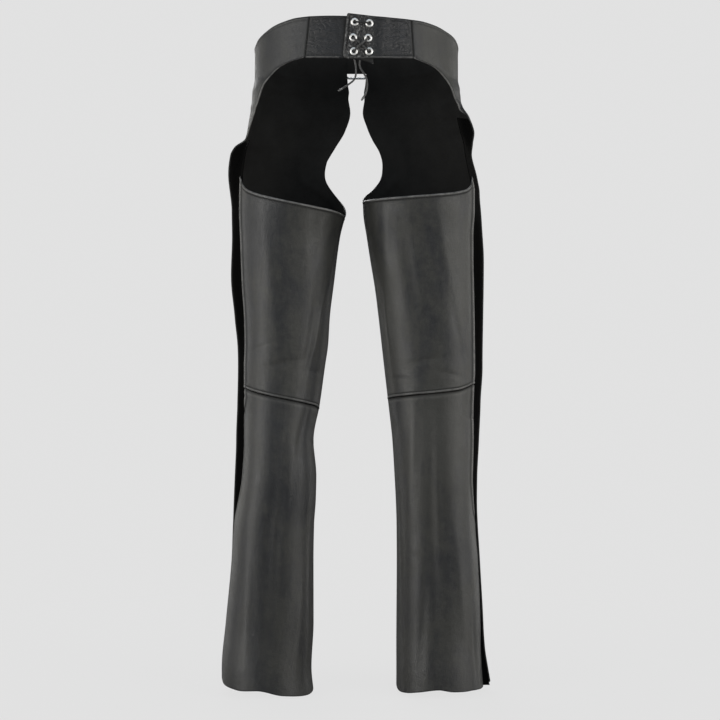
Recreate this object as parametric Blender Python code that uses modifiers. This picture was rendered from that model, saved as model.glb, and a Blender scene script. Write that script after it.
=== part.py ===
"""Leather riding chaps, worn: two legs hung from a waist belt that is laced at the back.

Each leg has a front panel that wraps from the inseam round to a flap at the outer side, a back panel cut
in two at the knee, and a black closure tape between the flap and the back panel. The seat is open.

Metres, +Z up. The origin is the middle of the waist ring, near half the height of the belt at the back. The
front faces -Y and the wearer's left is +X. In the tables, sizes are in millimetres and angles in degrees.
"""

import math

import bmesh
import bpy
import numpy as np
from mathutils import Matrix, Vector

MM = 0.001

# Driving sizes, in metres
LEATHER = 1.6 * MM  # wall of the legs
FOLD_RISE = 0.8 * MM  # of the folded and stitched edges above the leather beside them
FOLD_WIDTH = 5.5 * MM
BELT_LEATHER = 2.0 * MM  # wall of the two halves of the belt at the back
TAPE = 1.0 * MM  # wall of the closure tapes
GAP = 0.3 * MM  # between pieces that touch
BELT_LAP_GAP = 0.4 * MM  # between the two halves of the belt where they lap
SECTION_POWER = 2.3  # 2 is an ellipse, and more is squarer
FLARE_REACH = 60.0  # degrees before the flap's edge over which the leather rises to its flare
COMMON_EDGE = 28.0  # angle of the back panel's outer edge over most of the leg
FITTING_ROUNDS = 4  # in which a place on the surface is found, each far nearer than the last
INSEAM_RADIUS = 60 * MM  # how far the inseam and the belt stand off the middle of their sections, about
BELT_RADIUS = 130 * MM

EYELET_HOLE = 2.9 * MM  # radii
EYELET_BARREL = 3.4 * MM
EYELET_FLANGE = 6.2 * MM
EYELET_STEPS = 12
LEATHER_HOLE = 3.8 * MM
LACE_HOLE = 2.3 * MM  # of the plain holes in the left half
LACE_RADIUS = 1.5 * MM
LACE_STEP = 2.2 * MM  # between the points of its line
TIP_RADIUS = 1.8 * MM
TIP_LENGTH = 7.0 * MM

STRAP_LEATHER = 2.2 * MM
CHAPE_LEATHER = 1.6 * MM
BUCKLE_WIRE = 1.8 * MM  # radii
PRONG_WIRE = 1.4 * MM
BUCKLE_WIDTH = 38 * MM
BUCKLE_HEIGHT = 44 * MM
BUCKLE_CORNER = 7 * MM
STRAP_MIDDLE_Z = -1 * MM

# Cross-sections of the leather's outer face, from the waist down. inner, side, front and back are where the
# section ends across and along, flare is how far the flap's edge stands off it, and flap and edge are the
# angles of the flap's edge and of the back panel's outer edge. Angles run from the outer side, 0, by the
# back, 90, to the inner side, 180, and the front, 270.
SECTION_COLUMNS = ("z", "inner", "side", "front", "back", "flare", "flap", "edge")
LEFT_SECTIONS = [
    (50, -165, 165, -118, 118, 0, 12, 12),
    (-45, -165, 165.6, -118, 118, 0, 12, 12),
    (-60, -160, 169.2, -117.6, 117.6, 0, 12, 12),
    (-82, -152, 170.4, -117, 117, 0, 12, 12),
    (-115, -118, 175.7, -116, 113, 0, 12, 12),
    (-142, -73, 180, -114, 109, 1, 12.5, 17),
    (-156, -50, 185, -113, 107, 13.5, 12, 19),
    (-168, -30, 188, -112, 104, 17, 12, 21),
    (-205, 6, 194, -108, 100, 14, 12, 28),
    (-260, 17, 195, -102, 94, 7.5, 12, 28),
    (-300, 27, 193, -98, 88, 9, 12, 28),
    (-376, 37, 190, -92, 80, 13.5, 12, 28),
    (-430, 43.6, 186, -88, 75, 12, 12, 28),
    (-474, 46.3, 185, -85, 72, 8.5, 12, 28),
    (-510, 51.4, 186, -82, 70, 6.5, 12, 28),
    (-572, 60, 185, -77, 70, 8.5, 12, 28),
    (-630, 70, 184, -71, 75, 11, 12, 28),
    (-689, 65.4, 188, -66, 77, 9, 12, 28),
    (-728, 66.3, 193, -64, 76, 5.5, 10, 20),
    (-767, 69, 198.5, -63, 75, 1.5, 5, 9),
    (-826, 70, 202, -61, 75, 0.5, 1, 5),
    (-925, 69.8, 211.3, -62, 78, 0.5, 0, 4),
    (-1000, 73.2, 217.8, -66, 85, 0.5, 0, 4),
    (-1040, 69.5, 217.2, -68, 88, 0.5, 0, 4),
]
RIGHT_SECTIONS = [
    (50, -165, 165, -118, 118, 0, 12, 12),
    (-45, -165, 165.2, -118, 118, 0, 12, 12),
    (-64, -159, 169, -117.5, 117.5, 0, 12, 12),
    (-82, -152, 169.9, -117, 117, 0, 12, 12),
    (-108, -126, 176, -116, 114, 9, 14, 18),
    (-130, -95, 179, -115, 110, 13, 12, 19),
    (-150, -60, 183, -113, 107, 6.5, 12, 20),
    (-172, -28, 186.3, -112, 104, 1.5, 12, 24),
    (-205, 4, 193, -108, 100, 3, 12, 28),
    (-230, 10, 197, -105, 97, 3, 12, 28),
    (-260, 11, 197.2, -102, 94, 5, 12, 28),
    (-300, 16.8, 195, -98, 88, 10, 12, 28),
    (-340, 23, 195, -95, 84, 12, 12, 28),
    (-385, 30.4, 196, -91.5, 79.4, 10.7, 12, 28),
    (-430, 36, 197, -88, 75, 9, 12, 28),
    (-510, 45, 198, -82, 70, 7, 12, 28),
    (-572, 52.1, 194.5, -77, 70, 7, 12, 28),
    (-630, 58.4, 193.6, -71, 75, 5, 12, 28),
    (-689, 62, 191.5, -66, 77, 4, 12, 28),
    (-728, 64, 191, -64, 76, 4, 10, 20),
    (-767, 65.2, 192.3, -63, 75, 4, 8, 12),
    (-826, 65.5, 196.8, -61, 75, 3, 8, 12),
    (-925, 64.9, 200.7, -62, 78, 4.5, 8, 12),
    (-963, 64.7, 201, -64, 81, 6.5, 8, 12),
    (-1000, 64.8, 203, -66, 85, 10, 8, 12),
    (-1040, 64.6, 206, -68, 88, 14, 8, 12),
]

# Soft folds of the leather: a ridge where depth is above 0, and a trough where it is below
FOLD_COLUMNS = ("angle", "z", "half_angle", "half_height", "depth")
LEFT_FOLDS = [
    (104, -385, 15, 150, -2.4),
    (64, -400, 17, 170, 1.8),
    (146, -430, 14, 150, 1.8),
    (98, -805, 17, 190, -2.6),
    (58, -770, 15, 180, 2.0),
    (138, -850, 15, 170, 2.0),
    (250, -400, 18, 180, -2.2),
    (292, -430, 16, 170, 2.0),
    (236, -800, 17, 180, 2.2),
    (285, -830, 18, 190, -2.4),
    (322, -780, 15, 170, 1.8),
]
RIGHT_FOLDS = [
    (92, -390, 16, 160, -2.4),
    (54, -400, 15, 170, 1.8),
    (136, -400, 15, 160, 2.0),
    (84, -800, 16, 200, -2.4),
    (124, -790, 16, 190, 2.0),
    (48, -840, 14, 160, 2.0),
    (244, -390, 17, 180, 2.0),
    (288, -420, 17, 180, -2.2),
    (232, -830, 17, 180, -2.2),
    (276, -800, 17, 190, 2.2),
    (320, -820, 15, 180, -1.8),
]

# The front panel's two long edges above the leg, up to the top of the belt. Along the front edge the
# leather ends over the groin and at the middle of the front, and along the rear edge at the flap and at the
# seat.
HIP_COLUMNS = ("front_angle", "front_z", "rear_angle", "rear_z")
LEFT_HIP = [
    (180, -269, 12, -204),
    (188, -262, 12, -195),
    (202, -251, 12, -185),
    (221, -234, 12, -174),
    (238, -210, 12, -161),
    (251, -180, 12.5, -146),
    (260, -146, 17.5, -116),
    (266, -112, 21.5, -80),
    (271, -80, 29, -49),
    (275, -56, 41, -31),
    (277, -36, 53, -23.5),
    (278, -10, 54.5, 8),
    (279, 16, 56, 40.7),
]
RIGHT_HIP = [
    (180, -241, 12, -204),
    (188, -237, 12, -192),
    (202, -230, 12, -179),
    (221, -218, 12, -164),
    (238, -198, 12, -148),
    (251, -172, 12, -131),
    (260, -142, 14, -111),
    (266, -110, 20.5, -78),
    (271, -80, 27, -52),
    (275, -56, 36, -35.5),
    (277, -36, 49, -25),
    (278, -10, 49.76, 5),
    (279, 16, 50.5, 35.9),
]
HEM_REACH, TOP_REACH = 6, 4  # rows of the front panel that its hem and its top edge shape
FRONT_COLUMNS = 17  # of points across a front panel, up to where the tape begins under it
BACK_COLUMNS = 14  # of points across a back panel, from where the tape ends under it
CALF_RINGS = 12  # rings of points between the hem and the knee seam, and from there to the top of the thigh
THIGH_RINGS = 8

# Edges: the height at each angle
LEFT_TOP = [(-81, 16), (-60, 14), (-30, 6), (0, 5), (10, 9), (16, 15.6), (24, 23.2), (32, 31),
            (40.5, 36.4), (47, 39.4), (56, 40.7)]
RIGHT_TOP = [(-81, 16), (-60, 14), (-30, 6), (0, 6), (10, 12), (16, 17.5), (25, 23.7), (34, 30.2),
             (45.5, 35.2), (50.5, 35.9)]
LEFT_HEM = [(-180, -1035), (-130, -1032), (-90, -1034), (-40, -1028), (0, -1014), (8, -1017.5),
            (16, -1020.2), (28, -1022.4), (45, -1024.4), (60, -1026.3), (80, -1025.2), (110, -1033.3),
            (150, -1036.8), (180, -1035)]
RIGHT_HEM = [(-180, -1028), (-130, -1031), (-90, -1033), (-40, -1029), (8, -1021), (12, -1028),
             (20, -1028.6), (38, -1027.6), (50, -1026.9), (60, -1027.4), (70, -1027.3), (78, -1026.8),
             (85, -1025.2), (92, -1023.8), (120, -1028.8), (135, -1031.6), (150, -1032.6), (180, -1028)]
LEFT_KNEE = [(12, -543), (28, -545), (90, -561), (130, -571), (180, -582)]
RIGHT_KNEE = [(12, -538), (28, -539), (60, -549), (120, -557), (180, -565)]
LEFT_THIGH_TOP = [(28, -204), (34, -216), (44, -227), (70, -241), (100, -252), (140, -262),
                  (180, -269)]
RIGHT_THIGH_TOP = [(28, -204), (34, -217), (46, -228), (66, -235), (90, -239), (140, -243),
                   (180, -241)]
TAPE_LAPS = {"flap": 7, "back": 4}  # degrees of the tape under the flap and under the back panel
TAPE_POINTS = (0.35, 0.7)  # where its points stand between the flap's edge and the back panel's
TAPE_TOP_ROW = {"left": 5, "right": 6}  # the row of the hip table at which the tape ends
TAPE_FOOT = 2  # millimetres from the hem up to the tape's foot

# The belt at the back. The right half ends in the lacing tab and lies over the left half.
LEFT_BELT_ENDS = {"foot": (53, 103), "top": (56, 101)}  # angles, first at the seam
RIGHT_BELT_ENDS = {"foot": (49, 100.6), "top": (50.5, 97)}
LEFT_BELT_FOOT = [(53, -24.8), (70, -26.2), (84, -27.4), (90, -28.4), (97, -31.5), (103, -36)]
LEFT_BELT_TOP = [(56, 40.7), (66, 40.7), (80, 40), (92, 39), (101, 34)]
RIGHT_BELT_FOOT = [(49, -25.3), (58, -25.8), (72, -26.7), (85, -27.1), (100.6, -27.8)]
RIGHT_BELT_TOP = [(50.5, 35.9), (56, 36.8), (65, 37.9), (76, 39.2), (88, 41.9), (97, 44)]
LEFT_BELT = (LEFT_BELT_ENDS, LEFT_BELT_FOOT, LEFT_BELT_TOP)
RIGHT_BELT = (RIGHT_BELT_ENDS, RIGHT_BELT_FOOT, RIGHT_BELT_TOP)
BELT_RISE = (62, 73)  # angles between which the right half climbs on to the left one
BELT_COLUMNS = 14
BELT_ROWS = 5

# Eyelets of the lacing tab, by row from the top, with their places across and up
EYELETS = {
    "top_left": (2.6, 29.6),
    "top_right": (-20.7, 27.6),
    "middle_left": (5.1, 5.2),
    "middle_right": (-18.8, 4.5),
    "bottom_left": (4.1, -16.4),
    "bottom_right": (-20.3, -16.4),
}
LACE_OVER = 1.9  # height of the lace's line above the tab, away from the eyelets
LACE_CROSS = 5.3  # where it passes over itself
# Free ends of the lace: across, along and up
LEFT_END = [(4.1, 112.8, -24.4), (2.8, 112.9, -29.5), (1.2, 113.8, -37), (0.6, 115.8, -46),
            (1.2, 118, -54.5), (4.2, 119.9, -61.5), (10.2, 121.4, -66.8), (16.8, 122.3, -71.8),
            (22.2, 122.7, -75.4)]
RIGHT_END = [(-13.7, 112.8, -20.2), (-9.6, 112.8, -23), (-6.2, 113.2, -28.5), (-5, 114, -35),
             (-6.5, 115.6, -42), (-11, 117.8, -49.5), (-15.2, 119.8, -57.5), (-17, 121.2, -66),
             (-16.6, 122.4, -75), (-14.6, 123, -83), (-11.8, 123.1, -87.7)]

WAIST_FRONT = 118 * MM  # how far the front's outer face stands off the middle
STRAP_ANGLES = (235, 296)
STRAP_HALF_HEIGHT = 15 * MM
CORNER_STEPS = 4  # parts of each corner of the buckle's frame
PRONG_HEEL = 10.5 * MM  # where the prong begins, across
PRONG_TIP = (3 * MM, 1.2 * MM)  # how far its tip reaches past the frame, and back towards the strap
CHAPE_ENDS = (13 * MM, 50 * MM)  # across, over the buckle's heel bar
CHAPE_HALF_HEIGHT = 13 * MM
BAR_CLEARANCE = 2.2 * MM  # of the chape over the heel bar, with its gaps
HUMP_TOP = 3.2 * MM  # half the width of the chape's hump there, and how far it takes to fall from it
HUMP_FALL = 7 * MM

BLACK_LEATHER = {"colour": (0.045, 0.044, 0.042), "roughness": 0.5, "metallic": 0.0}
BELT_BLACK = {"colour": (0.03, 0.03, 0.031), "roughness": 0.55, "metallic": 0.0}
TAPE_BLACK = {"colour": (0.006, 0.006, 0.006), "roughness": 0.85, "metallic": 0.0}
LACE_BLACK = {"colour": (0.03, 0.029, 0.028), "roughness": 0.6, "metallic": 0.0}
NICKEL = {"colour": (0.74, 0.75, 0.75), "roughness": 0.25, "metallic": 1.0}


def smooth_curve(xs, ys, x):
    """The smooth curve through the points (xs, ys) that doesn't overshoot them, read at x."""
    order = np.argsort(xs)
    xs = np.asarray(xs, float)[order]
    ys = np.asarray(ys, float)[order]
    step = np.diff(xs)
    slope = np.diff(ys) / step
    tangent = np.zeros(len(xs))
    tangent[0] = slope[0]
    tangent[-1] = slope[-1]
    before, after = slope[:-1], slope[1:]
    same_way = before * after > 0
    total = np.where(same_way, before + after, 1.0)
    tangent[1:-1] = np.where(same_way, 2 * before * after / total, 0.0)
    x = np.clip(x, xs[0], xs[-1])
    k = np.clip(np.searchsorted(xs, x) - 1, 0, len(step) - 1)
    s = (x - xs[k]) / step[k]
    return (
        ys[k] * (1 + 2 * s) * (1 - s) ** 2
        + ys[k + 1] * s * s * (3 - 2 * s)
        + step[k] * (tangent[k] * s * (1 - s) ** 2 - tangent[k + 1] * s * s * (1 - s))
    )


def ease(x):
    """0 below 0, 1 above 1, and a smooth rise between."""
    x = np.clip(x, 0.0, 1.0)
    return x * x * (3 - 2 * x)


def edge_height(edge, angle):
    """The height in metres of an edge that is given as (angle, height in millimetres) rows."""
    angles, heights = zip(*edge)
    return smooth_curve(angles, heights, angle) * MM


def between(first, last, share):
    return first + (last - first) * share


class Side:
    """One side of the garment: its surface, from the tables above. side is 1 for the left, or -1."""

    def __init__(self, name, side, sections, folds, hip, edges):
        self.name = name
        self.side = side
        self.columns = dict(zip(SECTION_COLUMNS, zip(*sections)))
        self.folds = [dict(zip(FOLD_COLUMNS, row)) for row in folds]
        self.hip = dict(zip(HIP_COLUMNS, np.array(hip, float).T))
        self.belt_top, self.hem, self.knee, self.thigh_top = edges

    def read(self, column, z):
        return smooth_curve(self.columns["z"], self.columns[column], np.asarray(z, float) / MM)

    def base(self, angle, z):
        """Points of the leather's outer face, not yet mirrored."""
        inner, outer, front, back, flare, flap, edge = (
            self.read(column, z) for column in SECTION_COLUMNS[1:]
        )
        turn = np.radians(angle)
        across, along = np.cos(turn), np.sin(turn)
        half_width, half_depth = (outer - inner) / 2, (back - front) / 2
        radius = (
            (np.abs(across) / half_width) ** SECTION_POWER
            + (np.abs(along) / half_depth) ** SECTION_POWER
        ) ** (-1 / SECTION_POWER)
        wrapped = (angle + 180.0) % 360.0 - 180.0
        rising = ease(1.0 + (wrapped - flap) / FLARE_REACH)
        falling = 1.0 - ease((wrapped - flap) / np.maximum(edge - flap, 1e-6))
        radius = radius + flare * rising * falling
        for fold in self.folds:
            away = (wrapped - fold["angle"] + 180.0) % 360.0 - 180.0
            above = (z / MM - fold["z"]) / fold["half_height"]
            near = np.exp(-((away / fold["half_angle"]) ** 2) - above**2)
            radius = radius + fold["depth"] * near
        x = (inner + outer) / 2 + radius * across
        y = (front + back) / 2 + radius * along
        return np.stack([x * MM, y * MM, np.broadcast_to(z, np.shape(x))], axis=-1)

    def point(self, angle, z, out=0.0):
        """Points on the outer face, moved out by out metres along its normals, in the garment's frame."""
        angle, z = np.broadcast_arrays(np.asarray(angle, float), np.asarray(z, float))
        small_angle, small_z = 0.05, 0.05 * MM
        round_it = self.base(angle + small_angle, z) - self.base(angle - small_angle, z)
        up = self.base(angle, z + small_z) - self.base(angle, z - small_z)
        normal = np.cross(round_it, up)
        normal /= np.linalg.norm(normal, axis=-1, keepdims=True)
        points = self.base(angle, z) + normal * np.asarray(out, float)[..., None]
        return points * (self.side, 1.0, 1.0)

    def ring_height(self, ring, angle):
        """The height of a ring of the leg at an angle of its back. Ring 0 is the hem."""
        if ring <= CALF_RINGS:
            foot, top, share = self.hem, self.knee, ring / CALF_RINGS
        else:
            foot, top, share = self.knee, self.thigh_top, (ring - CALF_RINGS) / THIGH_RINGS
        return between(edge_height(foot, angle), edge_height(top, angle), share)

    def ring_end(self, ring):
        """The angle and height at which a ring meets the back panel's outer edge."""
        angle = COMMON_EDGE
        for _ in range(FITTING_ROUNDS):
            height = float(self.ring_height(ring, angle))
            angle = float(self.read("edge", height))
        return angle, height


LEFT_EDGES = (LEFT_TOP, LEFT_HEM, LEFT_KNEE, LEFT_THIGH_TOP)
RIGHT_EDGES = (RIGHT_TOP, RIGHT_HEM, RIGHT_KNEE, RIGHT_THIGH_TOP)
LEFT = Side("left", 1, LEFT_SECTIONS, LEFT_FOLDS, LEFT_HIP, LEFT_EDGES)
RIGHT = Side("right", -1, RIGHT_SECTIONS, RIGHT_FOLDS, RIGHT_HIP, RIGHT_EDGES)


def make_material(name, look):
    material = bpy.data.materials.new(name)
    material.use_nodes = True
    shader = material.node_tree.nodes["Principled BSDF"]
    shader.inputs["Base Color"].default_value = (*look["colour"], 1.0)
    shader.inputs["Roughness"].default_value = look["roughness"]
    shader.inputs["Metallic"].default_value = look["metallic"]
    return material


def clear_scene():
    for obj in list(bpy.data.objects):
        bpy.data.objects.remove(obj, do_unlink=True)


def new_collection(name, hidden=False):
    collection = bpy.data.collections.new(name)
    bpy.context.scene.collection.children.link(collection)
    collection.hide_render = hidden
    return collection


def wall(name, outer, inner, look, collection):
    """A closed wall between two equal grids of points."""
    rows, columns = outer.shape[:2]
    mesh = bmesh.new()
    faces_of = []
    for grid in (outer, inner):
        faces_of.append([[mesh.verts.new(point) for point in row] for row in grid])
    for r in range(rows - 1):
        for c in range(columns - 1):
            for grid in faces_of:
                mesh.faces.new((grid[r][c], grid[r][c + 1], grid[r + 1][c + 1], grid[r + 1][c]))
    rim = [(0, c) for c in range(columns)]
    rim += [(r, columns - 1) for r in range(1, rows)]
    rim += [(rows - 1, c) for c in range(columns - 2, -1, -1)]
    rim += [(r, 0) for r in range(rows - 2, 0, -1)]
    face, back = faces_of
    for (r, c), (next_r, next_c) in zip(rim, rim[1:] + rim[:1]):
        mesh.faces.new((face[r][c], back[r][c], back[next_r][next_c], face[next_r][next_c]))
    bmesh.ops.recalc_face_normals(mesh, faces=mesh.faces)
    return finish_mesh(name, mesh, look, collection)


def finish_mesh(name, mesh, look, collection, sharp_from=40.0):
    data = bpy.data.meshes.new(name)
    mesh.to_mesh(data)
    mesh.free()
    data.shade_smooth()
    data.set_sharp_from_angle(angle=math.radians(sharp_from))
    obj = bpy.data.objects.new(name, data)
    data.materials.append(look)
    collection.objects.link(obj)
    return obj


def sheet_wall(name, side, angles, heights, thickness, look, collection, out=0.0):
    """A wall whose outer face follows the side's surface, moved out by out."""
    outer = side.point(angles, heights, out)
    inner = side.point(angles, heights, out - thickness)
    return wall(name, outer, inner, look, collection)


def front_rows(side):
    """The angles and heights of the front panel's points, by row from the hem up and from the inseam round
    to the flap."""
    hip = side.hip
    last = len(hip["front_z"]) - 1
    rows = []
    for ring in range(CALF_RINGS + THIGH_RINGS):
        end_z = side.ring_end(ring)[1]
        rows.append((-180.0, float(side.ring_height(ring, 180.0)), float(side.read("flap", end_z)), end_z))
    for k in range(last + 1):
        front_angle, front_z, rear_angle, rear_z = (hip[column][k] for column in HIP_COLUMNS)
        rows.append((front_angle - 360.0, front_z * MM, rear_angle, rear_z * MM))
    lap = TAPE_LAPS["flap"]
    angles, heights = [], []
    for k, (front_angle, front_z, rear_angle, rear_z) in enumerate(rows):
        row_angles = np.linspace(front_angle, rear_angle - lap, FRONT_COLUMNS)
        row_angles = np.append(row_angles, (rear_angle - lap / 2, rear_angle))
        share = (row_angles - front_angle) / (rear_angle - front_angle)
        row_heights = between(front_z, rear_z, share)
        for edge, end_row, reach in ((side.hem, 0, HEM_REACH), (side.belt_top, len(rows) - 1, TOP_REACH)):
            fade = ease(1.0 - abs(k - end_row) / reach) ** 2
            _, first_z, _, last_z = rows[end_row]
            straight = between(first_z, last_z, share)
            row_heights = row_heights + fade * (edge_height(edge, row_angles) - straight)
        angles.append(row_angles)
        heights.append(row_heights)
    return np.array(angles), np.array(heights)


def add_fold_rows(grids, end):
    """The grids of points with two more rows, where the fold along their foot or their top ends."""
    first, second = (grids[:, 0], grids[:, 1]) if end == "foot" else (grids[:, -1], grids[:, -2])
    length = np.linalg.norm(second - first, axis=-1, keepdims=True)
    extra = [between(first, second, width / length) for width in (FOLD_WIDTH, FOLD_WIDTH + FOLD_RISE)]
    if end == "foot":
        return np.concatenate([grids[:, :1], np.stack(extra, axis=1), grids[:, 1:]], axis=1)
    return np.concatenate([grids[:, :-1], np.stack(extra[::-1], axis=1), grids[:, -1:]], axis=1)


def back_panel(name, side, rings, lowered, folded, look, collection):
    """A panel of the leg's back between two rings, from its edge at the outer side to the inseam. Its top row
    is lowered, to clear the panel above. Its outer edge is a fold, and so are the ends named in folded."""
    last = 180.0 - math.degrees(GAP / INSEAM_RADIUS)
    angles, heights = [], []
    for ring in range(rings[0], rings[1] + 1):
        first, end_z = side.ring_end(ring)
        row_angles = np.append(first, np.linspace(first + TAPE_LAPS["back"], last, BACK_COLUMNS))
        row_heights = side.ring_height(ring, row_angles)
        row_heights[0] = end_z
        angles.append(row_angles)
        heights.append(row_heights)
    heights[-1] = heights[-1] - lowered
    angles, heights = np.array(angles), np.array(heights)
    grids = np.stack([side.point(angles, heights), side.point(angles, heights, -LEATHER)])
    for end in folded:
        grids = add_fold_rows(grids, end)
    outer, inner = grids
    raised = np.zeros(outer.shape[:2])
    raised[:, :2] = FOLD_RISE
    if "foot" in folded:
        raised[:2] = FOLD_RISE
    if "top" in folded:
        raised[-2:] = FOLD_RISE
    out = (outer - inner) / LEATHER
    return wall(name, outer + out * raised[..., None], inner, look, collection)


def closure_tape(side, look, collection):
    """The black strip under the flap's edge and the back panel's edge."""
    rings = CALF_RINGS + THIGH_RINGS
    rows = rings + TAPE_TOP_ROW[side.name] + 1
    angles, heights = (grid[:rows, -3:] for grid in front_rows(side))
    flap, level = angles[:, -1:], heights[:, -1:]
    edge = side.read("edge", level)
    under_back = edge + TAPE_LAPS["back"]
    lapped = level.copy()
    for ring in range(rings + 1):
        lapped[ring] = side.ring_height(ring, under_back[ring])
    shown = [between(flap, edge, share) for share in TAPE_POINTS]
    angles = np.hstack([angles, *shown, edge, under_back])
    heights = np.hstack([heights, level, level, level, lapped])
    outer = side.point(angles, heights, -LEATHER - GAP)
    inner = side.point(angles, heights, -LEATHER - GAP - TAPE)
    for grid in (outer, inner):
        foot = TAPE_FOOT * MM / np.linalg.norm(grid[1] - grid[0], axis=-1, keepdims=True)
        grid[0] = between(grid[0], grid[1], foot)
    return wall(side.name + "_zip_tape", outer, inner, look, collection)


def belt_half(side, edges, rise, look, collection):
    """One half of the belt at the back, which climbs on to the other half between the two angles in rise."""
    ends, foot, top = edges
    across = np.linspace(0.0, 1.0, BELT_COLUMNS)[None, :]
    up = np.linspace(0.0, 1.0, BELT_ROWS)[:, None]
    seam_gap = math.degrees(GAP / BELT_RADIUS)
    first = between(ends["foot"][0], ends["top"][0], up) + seam_gap
    last = between(ends["foot"][1], ends["top"][1], up)
    angles = first + (last - first) * across
    heights = between(edge_height(foot, angles), edge_height(top, angles), up)
    out = np.zeros(angles.shape)
    if rise:
        out = (BELT_LEATHER + BELT_LAP_GAP) * ease((angles - rise[0]) / (rise[1] - rise[0]))
    outer = side.point(angles, heights, out)
    inner = side.point(angles, heights, out - BELT_LEATHER)
    return wall(side.name + "_back_belt", outer, inner, look, collection)


def back_angle(x):
    """The angle on the right side at which the belt's outer face is x across."""
    angle = math.degrees(math.atan2(BELT_RADIUS, -x))
    for _ in range(FITTING_ROUNDS):
        y = float(RIGHT.point(angle, 0.0, BELT_LEATHER + BELT_LAP_GAP)[1])
        angle = math.degrees(math.atan2(y, -x))
    return angle


def tab_point(x, z, out):
    """The point at (x, z) millimetres on the lacing tab's outer face, moved out by out millimetres."""
    on_tab = BELT_LEATHER + BELT_LAP_GAP
    return Vector(RIGHT.point(back_angle(x * MM), z * MM, on_tab + out * MM))


def tab_frame(x, z):
    """Where an eyelet stands on the tab: its origin on the outer face, and Z out of it."""
    origin = tab_point(x, z, 0.0)
    out = (tab_point(x, z, 1.0) - origin).normalized()
    return Matrix.Translation(origin) @ out.to_track_quat("Z", "Y").to_matrix().to_4x4()


def cut_holes(obj, radius, collection):
    """Cuts a hole at each eyelet's place through one half of the belt."""
    mesh = bmesh.new()
    for x, z in EYELETS.values():
        bmesh.ops.create_cone(
            mesh, cap_ends=True, segments=16, radius1=radius, radius2=radius, depth=8 * BELT_LEATHER,
            matrix=tab_frame(x, z) @ Matrix.Translation((0, 0, -BELT_LEATHER)),
        )
    name = obj.name + "_hole_cutter"
    data = bpy.data.meshes.new(name)
    mesh.to_mesh(data)
    mesh.free()
    cutter = bpy.data.objects.new(name, data)
    cutter.display_type = "WIRE"
    cutter.hide_render = True
    collection.objects.link(cutter)
    cut = obj.modifiers.new("lace_holes", "BOOLEAN")
    cut.operation = "DIFFERENCE"
    cut.solver = "EXACT"
    cut.object = cutter


def eyelet_mesh(look):
    """A turned eyelet: a domed flange outside, and a barrel through the leather of the tab."""
    profile = [
        (EYELET_HOLE, 0.6 * MM),
        (EYELET_HOLE + 0.7 * MM, 1.0 * MM),
        (EYELET_FLANGE - 1.0 * MM, 0.8 * MM),
        (EYELET_FLANGE, 0.2 * MM),
        (EYELET_FLANGE, 0.0),
        (EYELET_BARREL, 0.0),
        (EYELET_BARREL, -BELT_LEATHER),
        (EYELET_HOLE, -BELT_LEATHER),
    ]
    mesh = bmesh.new()
    points = [mesh.verts.new((radius, 0.0, height + GAP)) for radius, height in profile]
    for first, second in zip(points, points[1:] + points[:1]):
        mesh.edges.new((first, second))
    data = bpy.data.meshes.new("eyelet")
    mesh.to_mesh(data)
    mesh.free()
    data.materials.append(look)
    return data


def place_eyelets(look, collection):
    data = eyelet_mesh(look)
    for name, (x, z) in EYELETS.items():
        obj = bpy.data.objects.new("eyelet_" + name, data)
        obj.matrix_world = tab_frame(x, z)
        screw = obj.modifiers.new("turn", "SCREW")
        screw.steps = EYELET_STEPS
        screw.render_steps = EYELET_STEPS
        screw.use_merge_vertices = True
        screw.merge_threshold = 0.00001
        screw.use_smooth_shade = True
        collection.objects.link(obj)


def evenly(points, step):
    """Points a step apart on the smooth curve through the points, both ends kept."""
    points = [Vector(p) for p in points]
    ends = [2 * points[0] - points[1], *points, 2 * points[-1] - points[-2]]
    fine = []
    for a, b, c, d in zip(ends, ends[1:], ends[2:], ends[3:]):
        for k in range(12):
            t = k / 12
            bend = (2 * a - 5 * b + 4 * c - d) * t * t + (3 * b - a - 3 * c + d) * t**3
            fine.append(b + ((c - a) * t + bend) / 2)
    fine.append(points[-1])
    length = [0.0]
    for first, second in zip(fine, fine[1:]):
        length.append(length[-1] + (second - first).length)
    count = max(2, round(length[-1] / step))
    line = []
    for k in range(count + 1):
        target = length[-1] * k / count
        j = min(np.searchsorted(length, target, side="right") - 1, len(fine) - 2)
        share = (target - length[j]) / (length[j + 1] - length[j])
        line.append(fine[j].lerp(fine[j + 1], share))
    return line


def tube(name, line, radius, look, collection, closed=False, resolution=2):
    """A round tube along a line of points."""
    data = bpy.data.curves.new(name, "CURVE")
    data.dimensions = "3D"
    data.bevel_depth = radius
    data.bevel_resolution = resolution
    data.use_fill_caps = not closed
    spline = data.splines.new("POLY")
    spline.points.add(len(line) - 1)
    for point, place in zip(spline.points, line):
        point.co = (*place, 1.0)
    spline.use_cyclic_u = closed
    spline.use_smooth = True
    obj = bpy.data.objects.new(name, data)
    data.materials.append(look)
    collection.objects.link(obj)
    return obj


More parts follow.
